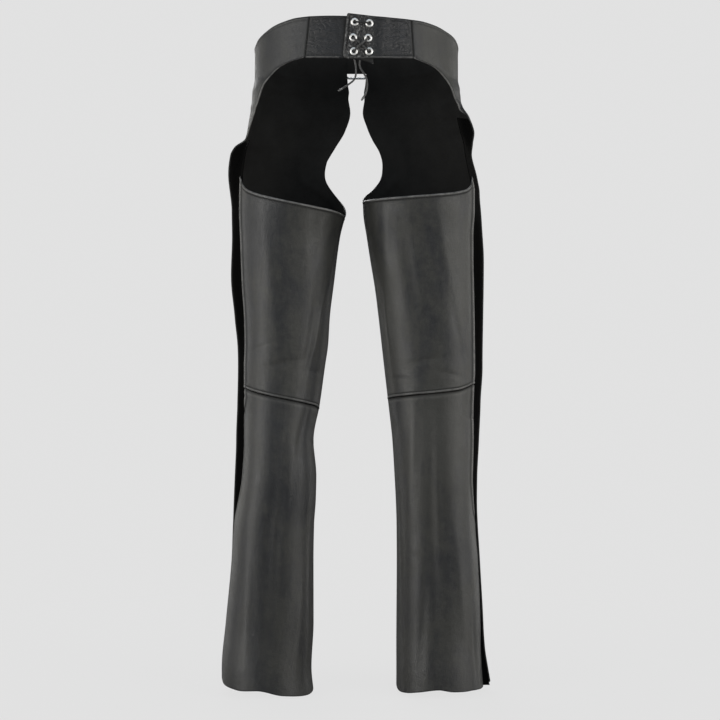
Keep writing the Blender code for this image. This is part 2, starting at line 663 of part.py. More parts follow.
def lace_route():
    """The lace's line where the tab holds it: up inside from the bottom left, across itself, and down."""

    def hole(name, outer_way, inner_way):
        """Points through an eyelet from the outer side in, given the ways that the lace leaves it."""
        x, z = EYELETS[name]
        steps = [(6.4, 2.9), (3.8, 3.5), (1.5, 2.3), (0.2, -0.6)]
        points = [(x + outer_way[0] * far, z + outer_way[1] * far, out) for far, out in steps]
        steps = [(0.0, -2.6), (0.1, -4.6), (1.0, -6.5), (3.2, -7.6), (6.2, -7.6)]
        return points + [(x + inner_way[0] * far, z + inner_way[1] * far, out) for far, out in steps]

    def way(first, second):
        (x0, z0), (x1, z1) = EYELETS[first], EYELETS[second]
        length = math.hypot(x1 - x0, z1 - z0)
        return (x1 - x0) / length, (z1 - z0) / length

    def middle(first, second, out):
        (x0, z0), (x1, z1) = EYELETS[first], EYELETS[second]
        return [((x0 + x1) / 2, (z0 + z1) / 2, out)]

    down = (0.0, -1.0)
    slant = (0.87, -0.5)
    route = hole("bottom_left", way("bottom_left", "middle_right"), down)[::-1]
    route += middle("bottom_left", "middle_right", LACE_CROSS)
    route += hole("middle_right", way("middle_right", "bottom_left"), way("middle_right", "top_right"))
    route += hole("top_right", way("top_right", "top_left"), way("top_right", "middle_right"))[::-1]
    route += middle("top_right", "top_left", LACE_OVER)
    route += hole("top_left", way("top_left", "top_right"), way("top_left", "middle_left"))
    route += hole("middle_left", way("middle_left", "bottom_right"), way("middle_left", "top_left"))[::-1]
    route += middle("middle_left", "bottom_right", LACE_OVER)
    route += hole("bottom_right", way("bottom_right", "middle_left"), slant)
    return [tab_point(*point) for point in route]


def lace(lace_look, tip_look, collection):
    tube("lace", evenly(lace_route(), LACE_STEP), LACE_RADIUS, lace_look, collection)
    for name, route in (("left", LEFT_END), ("right", RIGHT_END)):
        line = evenly([Vector(point) * MM for point in route], 2 * LACE_STEP)
        tube("lace_end_" + name, line, LACE_RADIUS, lace_look, collection)
        way = (line[-1] - line[-2]).normalized()
        tip_line = [line[-1] + way * (GAP + share * TIP_LENGTH) for share in (0.0, 0.5, 1.0)]
        tube("lace_tip_" + name, tip_line, TIP_RADIUS, tip_look, collection)


def front_angle(x):
    """The angle at which a point on the waist's front is x metres across."""
    return 270.0 + math.degrees(math.asin(x / WAIST_FRONT))


def front_grid(first, last, half_height, columns):
    """Angles and heights of a strip across the middle of the front, between two angles."""
    angles = np.linspace(first, last, columns)[None, :]
    heights = STRAP_MIDDLE_Z + half_height * np.array([-1.0, 0.0, 1.0])[:, None]
    return np.broadcast_arrays(angles, heights)


def frame_line(y):
    """The line of the buckle's frame: a rounded rectangle that stands y along."""
    line = []
    for corner, (across, up) in enumerate(((1, 1), (-1, 1), (-1, -1), (1, -1))):
        for step in range(CORNER_STEPS + 1):
            turn = math.radians(90 * (corner + step / CORNER_STEPS))
            x = across * (BUCKLE_WIDTH / 2 - BUCKLE_CORNER) + BUCKLE_CORNER * math.cos(turn)
            z = up * (BUCKLE_HEIGHT / 2 - BUCKLE_CORNER) + BUCKLE_CORNER * math.sin(turn)
            line.append((x, y, STRAP_MIDDLE_Z + z))
    return line


def front_closure(strap_look, metal_look, collection):
    """A plain strap with a frame buckle that joins the two fronts."""
    angles, heights = front_grid(*STRAP_ANGLES, STRAP_HALF_HEIGHT, 18)
    on_strap = GAP + STRAP_LEATHER
    sheet_wall("front_strap", LEFT, angles, heights, STRAP_LEATHER, strap_look, collection, on_strap)

    frame_y = -WAIST_FRONT - on_strap - GAP - BUCKLE_WIRE
    tube("front_buckle", frame_line(frame_y), BUCKLE_WIRE, metal_look, collection, closed=True)

    prong_y = frame_y - BUCKLE_WIRE - PRONG_WIRE - GAP
    reach = BUCKLE_WIDTH / 2
    prong = [(x, prong_y) for x in (PRONG_HEEL, PRONG_HEEL / 2, -reach / 2, -reach)]
    prong.append((-reach - PRONG_TIP[0], prong_y + PRONG_TIP[1]))
    line = [(x, y, STRAP_MIDDLE_Z) for x, y in prong]
    tube("buckle_prong", line, PRONG_WIRE, metal_look, collection)

    ends = (front_angle(x) for x in CHAPE_ENDS)
    angles, heights = front_grid(*ends, CHAPE_HALF_HEIGHT, 14)
    x = LEFT.point(angles, heights)[..., 0]
    lying = on_strap + GAP + CHAPE_LEATHER
    over_bar = 2 * BUCKLE_WIRE + BAR_CLEARANCE
    hump = over_bar * (1 - ease((np.abs(x - reach) - HUMP_TOP) / HUMP_FALL))
    sheet_wall("buckle_chape", LEFT, angles, heights, CHAPE_LEATHER, strap_look, collection, lying + hump)


def build():
    clear_scene()
    parts = new_collection("leather_chaps")
    cutters = new_collection("cutters", hidden=True)
    leather = make_material("leather", BLACK_LEATHER)
    belt_leather = make_material("belt_leather", BELT_BLACK)
    tape = make_material("tape", TAPE_BLACK)
    lace_leather = make_material("lace", LACE_BLACK)
    metal = make_material("metal", NICKEL)

    knee, top = CALF_RINGS, CALF_RINGS + THIGH_RINGS
    for side in (LEFT, RIGHT):
        sheet_wall(side.name + "_front_panel", side, *front_rows(side), LEATHER, leather, parts)
        back_panel(side.name + "_thigh_back", side, (knee, top), 0.0, ("foot", "top"), leather, parts)
        back_panel(side.name + "_calf_back", side, (0, knee), GAP, ("foot",), leather, parts)
        closure_tape(side, tape, parts)
    left_belt = belt_half(LEFT, LEFT_BELT, None, belt_leather, parts)
    right_belt = belt_half(RIGHT, RIGHT_BELT, BELT_RISE, belt_leather, parts)
    cut_holes(left_belt, LACE_HOLE, cutters)
    cut_holes(right_belt, LEATHER_HOLE, cutters)
    place_eyelets(metal, parts)
    lace(lace_leather, metal, parts)
    front_closure(belt_leather, metal, parts)


build()
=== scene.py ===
"""Leather riding chaps, dressed: shells of grained leather on the CAD frame, with folded and stitched
edges, soft creases, black closure tapes, a laced belt tab and a buckled front strap. The origin is the
middle of the waist ring, the front faces -Y, and the wearer's left is +X.

In the tables, sizes are in millimetres and angles in degrees, and most of them are those of part.py.
"""

import math

import bmesh
import bpy
import numpy as np
from mathutils import Matrix, Vector


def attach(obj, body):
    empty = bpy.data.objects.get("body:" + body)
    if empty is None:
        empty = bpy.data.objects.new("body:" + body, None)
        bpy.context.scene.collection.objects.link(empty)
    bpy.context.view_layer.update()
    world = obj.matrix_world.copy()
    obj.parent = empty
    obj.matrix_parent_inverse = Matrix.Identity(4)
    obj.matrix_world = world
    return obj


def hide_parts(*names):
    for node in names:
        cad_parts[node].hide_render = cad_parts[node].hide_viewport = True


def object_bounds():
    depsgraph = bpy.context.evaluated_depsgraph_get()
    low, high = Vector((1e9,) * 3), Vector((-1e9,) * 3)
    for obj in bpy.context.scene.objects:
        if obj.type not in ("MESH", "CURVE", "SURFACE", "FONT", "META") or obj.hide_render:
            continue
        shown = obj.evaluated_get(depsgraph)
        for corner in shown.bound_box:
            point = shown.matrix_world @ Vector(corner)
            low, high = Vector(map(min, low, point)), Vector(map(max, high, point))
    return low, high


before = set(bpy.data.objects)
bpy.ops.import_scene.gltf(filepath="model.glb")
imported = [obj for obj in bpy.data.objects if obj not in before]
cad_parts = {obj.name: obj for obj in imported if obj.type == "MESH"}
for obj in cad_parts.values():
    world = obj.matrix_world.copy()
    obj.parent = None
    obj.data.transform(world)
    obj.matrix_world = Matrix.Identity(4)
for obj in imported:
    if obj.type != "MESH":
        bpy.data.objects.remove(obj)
cad_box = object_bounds()

MM = 0.001


def rows_of(text):
    """The rows of numbers of a table that is given as text."""
    return [tuple(map(float, row.split())) for row in text.strip().splitlines()]


# Driving sizes, in metres
LEATHER = 1.6 * MM  # wall of the legs
BELT_LEATHER = 2.0 * MM  # wall of the two halves of the belt at the back
TAPE = 1.0 * MM  # wall of the closure tapes
GAP = 0.3 * MM  # between pieces that touch
BELT_LAP_GAP = 0.4 * MM  # between the two halves of the belt where they lap
SECTION_POWER = 2.3  # 2 is an ellipse, and more is squarer
FLARE_REACH = 60.0  # degrees before the flap's edge over which the leather rises to its flare
COMMON_EDGE = 28.0  # angle of the back panel's outer edge over most of the leg
FITTING_ROUNDS = 4  # in which a place on the surface is found, each far nearer than the last
INSEAM_RADIUS = 60 * MM  # how far the inseam and the belt stand off the middle of their sections, about
BELT_RADIUS = 130 * MM
LEG_DEGREE, BELT_DEGREE = 1.35, 2.2  # millimetres round the leg and the belt for one degree, about

LEATHER_HOLE = 3.8 * MM  # radius, as for the lace
LACE_RADIUS = 1.5 * MM
LACE_CLEARANCE = 0.15 * MM  # round the lace in the holes of the belt's left half
END_STEP = 4.4 * MM  # between the points that shape a free end of the lace
TIP_LENGTH = 7.0 * MM
TIP_RADII = (1.6, 1.8, 1.8, 1.7, 1.75, 1.6, 1.4, 1.0)

STRAP_LEATHER = 2.2 * MM
CHAPE_LEATHER = 1.6 * MM
BUCKLE_WIRE = 1.8 * MM  # radii
PRONG_WIRE = 1.4 * MM
PRONG_RADII = (1.4, 1.4, 1.4, 1.35, 1.3, 0.9)
BUCKLE_WIDTH = 38 * MM
BUCKLE_HEIGHT = 44 * MM
BUCKLE_CORNER = 7 * MM
CORNER_STEPS = 14
STRAP_MIDDLE_Z = -1 * MM
STRAP_SINK = 0.2 * MM  # how much nearer to the fronts the strap lies than in the frame
WAIST_FRONT = 118 * MM  # how far the front's outer face stands off the middle
STRAP_ANGLES = (235, 296)
STRAP_HALF_HEIGHT = 15 * MM
PRONG_HEEL = 10.5 * MM  # where the prong begins, across
PRONG_TIP = (3 * MM, 1.2 * MM)  # how far its tip reaches past the frame, and back towards the strap
CHAPE_ENDS = (13 * MM, 50 * MM)  # across, over the buckle's heel bar
CHAPE_HALF_HEIGHT = 13 * MM
BAR_CLEARANCE = 2.2 * MM  # of the chape over the heel bar, with its gaps
HUMP_TOP = 3.2 * MM  # half the width of the chape's hump there, and how far it takes to fall from it
HUMP_FALL = 7 * MM

# Steps of the grids of points, up and across
FRONT_GRID, BACK_GRID, BELT_GRID = (3.6 * MM, 3.3 * MM), (3.4 * MM, 3.2 * MM), (2.2 * MM, 2.0 * MM)
STRAP_STEP = 1.6 * MM
SHARP = math.radians(60)  # angle between faces from which an edge is shaded sharp
ROW_PARTS, ROW_SAMPLES = 8, 61  # measured points for each row up the front panel, and across a row
CURVE_PARTS = 12  # steps between the points that shape a curve
TAPE_GRID = (190, 19)  # points of the tape, up and across
HOLE_SIDES = 32

# Cross-sections of the leather's outer face, from the waist down. inner, side, front and back are where the
# section ends across and along, flare is how far the flap's edge stands off it, and flap and edge are the
# angles of the flap's edge and of the back panel's outer edge. Angles run from the outer side, 0, by the
# back, 90, to the inner side, 180, and the front, 270.
SECTION_COLUMNS = ("z", "inner", "side", "front", "back", "flare", "flap", "edge")
LEFT_SECTIONS = rows_of("""
50 -165 165 -118 118 0 12 12
-45 -165 165.6 -118 118 0 12 12
-60 -160 169.2 -117.6 117.6 0 12 12
-82 -152 170.4 -117 117 0 12 12
-115 -118 175.7 -116 113 0 12 12
-142 -73 180 -114 109 1 12.5 17
-156 -50 185 -113 107 13.5 12 19
-168 -30 188 -112 104 17 12 21
-205 6 194 -108 100 14 12 28
-260 17 195 -102 94 7.5 12 28
-300 27 193 -98 88 9 12 28
-376 37 190 -92 80 13.5 12 28
-430 43.6 186 -88 75 12 12 28
-474 46.3 185 -85 72 8.5 12 28
-510 51.4 186 -82 70 6.5 12 28
-572 60 185 -77 70 8.5 12 28
-630 70 184 -71 75 11 12 28
-689 65.4 188 -66 77 9 12 28
-728 66.3 193 -64 76 5.5 10 20
-767 69 198.5 -63 75 1.5 5 9
-826 70 202 -61 75 0.5 1 5
-925 69.8 211.3 -62 78 0.5 0 4
-1000 73.2 217.8 -66 85 0.5 0 4
-1040 69.5 217.2 -68 88 0.5 0 4
""")
RIGHT_SECTIONS = rows_of("""
50 -165 165 -118 118 0 12 12
-45 -165 165.2 -118 118 0 12 12
-64 -159 169 -117.5 117.5 0 12 12
-82 -152 169.9 -117 117 0 12 12
-108 -126 176 -116 114 9 14 18
-130 -95 179 -115 110 13 12 19
-150 -60 183 -113 107 6.5 12 20
-172 -28 186.3 -112 104 1.5 12 24
-205 4 193 -108 100 3 12 28
-230 10 197 -105 97 3 12 28
-260 11 197.2 -102 94 5 12 28
-300 16.8 195 -98 88 10 12 28
-340 23 195 -95 84 12 12 28
-385 30.4 196 -91.5 79.4 10.7 12 28
-430 36 197 -88 75 9 12 28
-510 45 198 -82 70 7 12 28
-572 52.1 194.5 -77 70 7 12 28
-630 58.4 193.6 -71 75 5 12 28
-689 62 191.5 -66 77 4 12 28
-728 64 191 -64 76 4 10 20
-767 65.2 192.3 -63 75 4 8 12
-826 65.5 196.8 -61 75 3 8 12
-925 64.9 200.7 -62 78 4.5 8 12
-963 64.7 201 -64 81 6.5 8 12
-1000 64.8 203 -66 85 10 8 12
-1040 64.6 206 -68 88 14 8 12
""")

# Soft folds of the leather: angle, z, half_angle, half_height and depth, which is below 0 in a trough
LEFT_FOLDS = rows_of("""
104 -385 15 150 -2.4
64 -400 17 170 1.8
146 -430 14 150 1.8
98 -805 17 190 -2.6
58 -770 15 180 2.0
138 -850 15 170 2.0
250 -400 18 180 -2.2
292 -430 16 170 2.0
236 -800 17 180 2.2
285 -830 18 190 -2.4
322 -780 15 170 1.8
""")
RIGHT_FOLDS = rows_of("""
92 -390 16 160 -2.4
54 -400 15 170 1.8
136 -400 15 160 2.0
84 -800 16 200 -2.4
124 -790 16 190 2.0
48 -840 14 160 2.0
244 -390 17 180 2.0
288 -420 17 180 -2.2
232 -830 17 180 -2.2
276 -800 17 190 2.2
320 -820 15 180 -1.8
""")

# Creases and soft ridges: angle, z, turn, length, width and depth. turn is the direction in which one runs,
# from level, and length and width are how far it fades along and across it
LEFT_CREASES = rows_of("""
150 -330 84 70 5.5 1.5
118 -300 95 60 8.5 -1.9
132 -455 80 55 3.5 1.7
122 -470 84 70 6 -2
70 -330 97 80 10 1.4
90 -505 12 26 4.5 -1.4
140 -520 -8 30 4 -1.2
60 -480 18 20 3 -1
38 -560 -14 22 3 -1.4
40 -585 -6 26 3.5 -1.2
44 -540 8 18 2.5 0.9
120 -640 82 80 8 -2
96 -760 88 120 9.5 -2
60 -900 93 90 8.5 1.5
130 -930 86 80 7.5 1.5
150 -860 90 90 5 -1.4
155 -600 20 22 4 1.5
160 -635 -10 24 4 -1.4
230 -330 75 70 7.5 -1.7
300 -300 102 80 8 1.5
262 -520 10 34 4.5 -1.5
282 -548 -7 36 4 -1.4
250 -575 14 30 4.5 -1.2
300 -600 -12 26 4 1.2
270 -690 86 90 8 1.7
318 -760 94 100 7.5 -1.5
236 -930 88 80 8 -1.7
292 -960 92 70 7.5 1.4
250 -215 40 40 6 -1.5
274 -180 62 46 5.5 -1.5
300 -150 76 50 7 1.4
330 -120 80 46 7.5 -1.4
352 -60 8 34 4.5 -1
12 -92 -14 30 4.5 1
322 -25 12 30 4 -0.9
""")
RIGHT_CREASES = rows_of("""
128 -300 96 70 7.5 1.5
108 -350 88 80 9.5 -2
70 -320 84 60 7.5 1.4
142 -440 92 60 5 1.5
56 -470 80 60 6 -1.5
96 -500 -10 28 4.5 -1.4
70 -522 14 24 4 -1.2
132 -530 6 26 4 -1.2
44 -590 12 22 3.5 -1.2
120 -640 95 80 8 1.5
88 -720 90 120 8.5 -2
150 -790 88 100 5.5 1.4
60 -860 86 90 8 1.5
112 -930 94 90 8 -1.5
40 -960 88 70 6 -1.4
240 -330 104 70 7.5 -1.7
296 -310 80 80 8 1.5
272 -528 -9 36 4.5 -1.5
254 -556 12 34 4 -1.4
290 -584 -5 30 4.5 -1.2
236 -600 15 26 4 1.2
262 -700 94 90 8 1.7
312 -770 86 100 7.5 -1.5
232 -900 92 80 8 -1.7
288 -950 88 80 7.5 1.4
248 -205 44 40 6 -1.5
272 -170 66 46 5.5 -1.5
302 -155 78 50 7 1.4
334 -110 82 46 7.5 -1.4
350 -70 14 34 4.5 -1
14 -88 -10 30 4.5 1
318 -20 10 30 4 -0.9
""")

# The front panel's two long edges above the leg, up to the top of the belt: front angle and z, and rear
# angle and z. The front edge runs over the groin and up the middle of the front, and the rear edge is the
# flap's, and then runs over the seat.
LEFT_HIP = rows_of("""
180 -269 12 -204
188 -262 12 -195
202 -251 12 -185
221 -234 12 -174
238 -210 12 -161
251 -180 12.5 -146
260 -146 17.5 -116
266 -112 21.5 -80
271 -80 29 -49
275 -56 41 -31
277 -36 53 -23.5
278 -10 54.5 8
279 16 56 40.7
""")
RIGHT_HIP = rows_of("""
180 -241 12 -204
188 -237 12 -192
202 -230 12 -179
221 -218 12 -164
238 -198 12 -148
251 -172 12 -131
260 -142 14 -111
266 -110 20.5 -78
271 -80 27 -52
275 -56 36 -35.5
277 -36 49 -25
278 -10 49.76 5
279 16 50.5 35.9
""")
HEM_REACH, TOP_REACH = 6, 4  # rows of the front panel that its hem and its top edge shape
CALF_RINGS = 12  # rings of points between the hem and the knee seam, and from there to the top of the thigh
THIGH_RINGS = 8
RINGS = CALF_RINGS + THIGH_RINGS

# Edges: the height at each angle
LEFT_TOP = [(-81, 16), (-60, 14), (-30, 6), (0, 5), (10, 9), (16, 15.6), (24, 23.2), (32, 31),
            (40.5, 36.4), (47, 39.4), (56, 40.7)]
RIGHT_TOP = [(-81, 16), (-60, 14), (-30, 6), (0, 6), (10, 12), (16, 17.5), (25, 23.7), (34, 30.2),
             (45.5, 35.2), (50.5, 35.9)]
LEFT_HEM = [(-180, -1035), (-130, -1032), (-90, -1034), (-40, -1028), (0, -1014), (8, -1017.5),
            (16, -1020.2), (28, -1022.4), (45, -1024.4), (60, -1026.3), (80, -1025.2), (110, -1033.3),
            (150, -1036.8), (180, -1035)]
RIGHT_HEM = [(-180, -1028), (-130, -1031), (-90, -1033), (-40, -1029), (8, -1021), (12, -1028),
             (20, -1028.6), (38, -1027.6), (50, -1026.9), (60, -1027.4), (70, -1027.3), (78, -1026.8),
             (85, -1025.2), (92, -1023.8), (120, -1028.8), (135, -1031.6), (150, -1032.6), (180, -1028)]
LEFT_KNEE = [(12, -543), (28, -545), (90, -561), (130, -571), (180, -582)]
RIGHT_KNEE = [(12, -538), (28, -539), (60, -549), (120, -557), (180, -565)]
LEFT_THIGH_TOP = [(28, -204), (34, -216), (44, -227), (70, -241), (100, -252), (140, -262),
                  (180, -269)]
RIGHT_THIGH_TOP = [(28, -204), (34, -217), (46, -228), (66, -235), (90, -239), (140, -243),
                   (180, -241)]
TAPE_LAPS = {"flap": 7, "back": 4}  # degrees of the tape under the flap and under the back panel
TAPE_TOP_ROW = {"left": 5, "right": 6}  # the row of the hip table at which the tape ends
TAPE_FOOT = 0.05  # the row of the front panel at which it begins, just above the hem
TAPE_HOLLOW = 0.25 * MM

# The belt at the back. The right half ends in the lacing tab and lies over the left half.
LEFT_BELT_ENDS = {"foot": (53, 103), "top": (56, 101)}  # angles, first at the seam
RIGHT_BELT_ENDS = {"foot": (49, 100.6), "top": (50.5, 97)}
LEFT_BELT_FOOT = [(53, -24.8), (70, -26.2), (84, -27.4), (90, -28.4), (97, -31.5), (103, -36)]
LEFT_BELT_TOP = [(56, 40.7), (66, 40.7), (80, 40), (92, 39), (101, 34)]
RIGHT_BELT_FOOT = [(49, -25.3), (58, -25.8), (72, -26.7), (85, -27.1), (100.6, -27.8)]
RIGHT_BELT_TOP = [(50.5, 35.9), (56, 36.8), (65, 37.9), (76, 39.2), (88, 41.9), (97, 44)]
BELT_RISE = (62, 73)  # angles between which the right half climbs on to the left one

# Eyelets of the lacing tab, by row from the top, with their places across and up
EYELETS = {
    "top_left": (2.6, 29.6),
    "top_right": (-20.7, 27.6),
    "middle_left": (5.1, 5.2),
    "middle_right": (-18.8, 4.5),
    "bottom_left": (4.1, -16.4),
    "bottom_right": (-20.3, -16.4),
}
# An eyelet's profile, closed: radius and height. The barrel is its darker part, plated dark as painted shade
# inside the hole.
EYELET_PROFILE = [(2.9, -2.0), (2.9, 0.3), (3.0, 0.7), (3.3, 1.05), (3.8, 1.25), (4.4, 1.22), (5.0, 1.05),
                  (5.6, 0.75), (6.0, 0.42), (6.2, 0.15), (6.2, 0.0), (3.4, 0.0), (3.4, -2.0)]
EYELET_BARREL = (0, 1, 11, 12)
EYELET_STEPS = 48
LACE_OVER = 1.9  # height of the lace's line above the tab, away from the eyelets
LACE_CROSS = 5.3  # where it passes over itself
# The lace from eyelet to eyelet: the eyelet, where it leaves that on the outer side and on the inner side, an
# eyelet's name or a way across and up, whether it goes inward, and the height halfway to the outer one
LACE_ROUTE = [
    ("bottom_left", "middle_right", (0.0, -1.0), False, LACE_CROSS),
    ("middle_right", "bottom_left", "top_right", True, None),
    ("top_right", "top_left", "middle_right", False, LACE_OVER),
    ("top_left", "top_right", "middle_left", True, None),
    ("middle_left", "bottom_right", "top_left", False, LACE_OVER),
    ("bottom_right", "middle_left", (0.87, -0.5), True, None),
]
# Its points by an eyelet on both sides: how far from the eyelet, and how far out of the tab
OUTER_STEPS = [(6.4, 2.9), (3.8, 3.5), (1.5, 2.3), (0.2, -0.6)]
INNER_STEPS = [(0.0, -2.6), (0.1, -4.6), (1.0, -6.5), (3.2, -7.6), (6.2, -7.6)]
# Free ends of the lace: across, along and up
LEFT_END = [(4.1, 112.8, -24.4), (2.8, 112.9, -29.5), (1.2, 113.8, -37), (0.6, 115.8, -46),
            (1.2, 118, -54.5), (4.2, 119.9, -61.5), (10.2, 121.4, -66.8), (16.8, 122.3, -71.8),
            (22.2, 122.7, -75.4)]
RIGHT_END = [(-13.7, 112.8, -20.2), (-9.6, 112.8, -23), (-6.2, 113.2, -28.5), (-5, 114, -35),
             (-6.5, 115.6, -42), (-11, 117.8, -49.5), (-15.2, 119.8, -57.5), (-17, 121.2, -66),
             (-16.6, 122.4, -75), (-14.6, 123, -83), (-11.8, 123.1, -87.7)]

# How the leather rises across each kind of edge: how far in from the edge, and how far out
FOLDED = [(0, -1.0), (0.5, -0.1), (1.1, 0.5), (2.0, 0.8), (3.2, 0.72), (4.2, 0.4), (4.9, 0.12), (5.6, 0.28),
          (7, 0.26), (9, 0.08), (13, 0)]
CUT = [(0, -0.8), (0.5, -0.25), (1.2, -0.04), (2.5, 0)]
SEAMED = [(0, -0.6), (0.5, -0.45), (1.2, -0.15), (2.4, 0.1), (4.5, 0.1), (8, 0)]
TUCKED = [(0, -1.1), (1, -0.8), (2.5, -0.35), (5, -0.08), (9, 0)]
STRAP_EDGE = [(0, -0.8), (0.4, -0.2), (0.9, 0.1), (1.8, 0.2), (2.8, 0.12), (3.6, -0.12), (4.4, 0.04), (6, 0)]
STITCHED, STRAP_STITCHED = 6, 5  # the stitches' place in FOLDED and in STRAP_EDGE

STITCH_LENGTH = 3.3 * MM
STITCH_PITCH = 4.2 * MM
STITCH_SIDES = 6
# A stitch's rings: where along it, as a share of its length, and how thick and how high, in radii
STITCH_RINGS = [(-0.5, 0.45, -0.55), (-0.42, 0.95, 0.1), (-0.15, 1.0, 0.55), (0.15, 1.0, 0.55),
                (0.42, 0.95, 0.1), (0.5, 0.45, -0.55)]
THREAD = 0.34 * MM  # radius

# How worn a folded edge is: how far in from it, and the wear, from 1 to -1. Above 0 it is real wear with a
# painted highlight on the fold, and below 0 a dark groove, a painted shadow where the stitches sink in.
WORN_WITH_PAINTED_LIGHT = [(0, 0.4), (0.4, 0.85), (2.4, 0.85), (3.1, 0.1), (3.8, -0.95), (5.2, -1), (6.2, -0.3), (7.5, 0)]
# How worn the piece over a knee's seam is along the seam, with the same painted highlight on the fold and
# painted shadow in the groove
KNEE_WORN_WITH_PAINTED_LIGHT = [(0, -0.6), (0.6, 0.25), (1.2, 0.42), (4.2, 0.42), (4.9, -0.8), (6, -0.9), (7.2, 0)]
SEAM_DARK = (1.2, 1.6 * MM)  # how much darker a seam is, and how far from it
PAINTED = (2.2, 2.2 * MM, 3.6 * MM)  # the same for a painted edge, and where that ends
FAR = 20 * MM  # what takes a place out of reach of an edge's wear
PAINTED_TOP = {"front": 1.6 * MM, "belt": 1.4 * MM}  # how much less of a top edge is painted black
SIDE_WEAR_AND_LIGHT = 2.2  # how many times wider the wear, with its painted highlight, is along a back piece's side edge, which is rubbed most
RUBBED_AND_LIT = {"left": 15 * MM, "right": 190 * MM}  # how far below the knee's seam that rubbed edge, lighter with wear and a painted highlight, goes on
RUBBED_AND_LIT_FADE = 70 * MM
SEAM_FADE = 30 * MM  # the inseam's part of the thigh's top edge, which gets no wear and no painted highlight
CALF_RIDGE = (0.3, 4.2)  # wear and painted highlight on the calf below the knee's seam, and how far below it
THIGH_FOOT = (0.6 * MM, 3 * MM)  # how far the thigh's foot is turned up, and over what height
CALF_TOP_FADE = 20 * MM  # height over which the calf's top comes down by the gap
INNER_SHADE = (0.7, 14 * MM, 38 * MM)  # painted shade by the inseam, where the other leg shades this one: how much darker the leather is there, and how far from it
ABOVE_SEAM, AT_BELT = 0.6, 0.15  # rows over which the inseam becomes the front edge, and the flap a seam
BELT_SEAM_ROWS = 2  # rows of the hip table above the foot of the belt's seam

BELT_HEIGHT = 64 * MM
TAB_CORNER = 9 * MM
UNDER_TAB = (76.5, 81.5)  # angles over which the left half goes under the tab
CRUSHED = (74, 84)  # angles over which the lacing tab's leather becomes more crushed
BELT_FOOT_WEAR_AND_LIGHT, UNDER_TAB_SHADE = 0.55, 0.9  # share of the wear and painted highlight at the belt's foot, and how much painted shade the tab puts on the left half under it
HIDDEN_CORNER = (1.7, 3.2 * MM)  # wear of the left half's lower corner, and its radius
WORN_CORNER = (1.8, 6 * MM, 3 * MM, 5 * MM)  # the same for the tab's, and how far in and up that is

# Small creases of the belt's leather, with the columns of the creases above
BELT_CRINKLES = {
    "left": rows_of("""
66 6 4 22 2.6 -0.45
72 16 -5 26 2.4 0.4
79 -4 7 20 2.6 -0.4
62 -10 -3 18 2.4 0.35
84 24 10 16 2.2 -0.35
70 28 2 24 2.4 -0.4
88 8 -12 14 2.2 0.35
76 -14 5 20 2.2 0.3
"""),
    "right": rows_of("""
60 12 3 20 2.4 -0.45
68 2 -4 26 2.6 0.4
74 -8 6 22 2.4 -0.4
64 24 -6 22 2.4 0.35
78 18 8 14 2.2 -0.35
58 -6 2 18 2.2 -0.35
86 20 14 10 2.0 0.4
91 12 -20 9 1.8 -0.45
95 26 62 9 1.8 0.4
93 -4 38 9 1.8 -0.4
87 -6 -30 10 1.9 0.35
96 4 80 10 1.7 -0.35
90 31 5 9 1.7 -0.3
89 4 50 8 1.6 0.3
"""),
}

FADED = (0.06, 0.06, 0.06, 1.0)  # colour of the lace where it is rubbed pale
DARK_HEM = (-0.95, -0.6, 0.7, 1.0)  # heights between which the leather gets darker towards the hem, and how much is left of its colour

CAMERA_PLACE = (-0.0057, 3.1, -0.5)
CAMERA_FOCAL = 1902.0  # in pixels of a picture 720 across
CAMERA_SENSOR = 36.0
BACKGROUND = 0.757
AMBIENT = 0.1
FLOOR_GAP = 0.001
WARM, NEUTRAL, COOL = (1.0, 0.985, 0.94), (1.0, 1.0, 1.0), (0.74, 0.88, 1.0)
# Each light's place, what it looks at, its size, its power and its colour
SOFTBOXES = [
    ("left_softbox", (2.3, 1.95, -0.4), (0, 0, -0.55), (1.6, 2), 67, WARM),
    ("right_softbox", (-2.25, 1.95, -0.1), (0, 0, -0.45), (1.6, 1.6), 45, WARM),
    ("left_side_softbox", (2.9, 0.2, -0.3), (0, 0, -0.5), (1.6, 2), 17, WARM),
    ("right_side_softbox", (-2.9, 0.2, -0.3), (0, 0, -0.5), (1.6, 2), 25, WARM),
    ("camera_softbox", (0.5, 3.6, 0.9), (0, 0, -0.5), (1.5, 1.5), 2.5, COOL),
    ("front_softbox", (0.6, -2.4, 1.1), (0, 0, -0.5), (1.8, 1.4), 48, NEUTRAL),
    ("left_front_softbox", (2.2, -2, -0.4), (0, 0, -0.5), (1.2, 1.9), 15, WARM),
    ("right_front_softbox", (-2.2, -2, -0.4), (0, 0, -0.5), (1.2, 1.9), 15, WARM),
    ("top_softbox", (0, 0.8, 2), (0, 0, -0.3), (1.4, 1.4), 12, COOL),
]


def smooth_curve(xs, ys, x):
    """The smooth curve through the points (xs, ys) that doesn't overshoot them, read at x."""
    order = np.argsort(xs)
    xs, ys = np.asarray(xs, float)[order], np.asarray(ys, float)[order]
    step = np.diff(xs)
    slope = np.diff(ys) / step
    before, after = slope[:-1], slope[1:]
    same_way = before * after > 0
    total = np.where(same_way, before + after, 1.0)
    tangent = np.hstack([slope[0], np.where(same_way, 2 * before * after / total, 0.0), slope[-1]])
    x = np.clip(x, xs[0], xs[-1])
    k = np.clip(np.searchsorted(xs, x) - 1, 0, len(step) - 1)
    s = (x - xs[k]) / step[k]
    return (
        ys[k] * (1 + 2 * s) * (1 - s) ** 2
        + ys[k + 1] * s * s * (3 - 2 * s)
        + step[k] * (tangent[k] * s * (1 - s) ** 2 - tangent[k + 1] * s * s * (1 - s))
    )


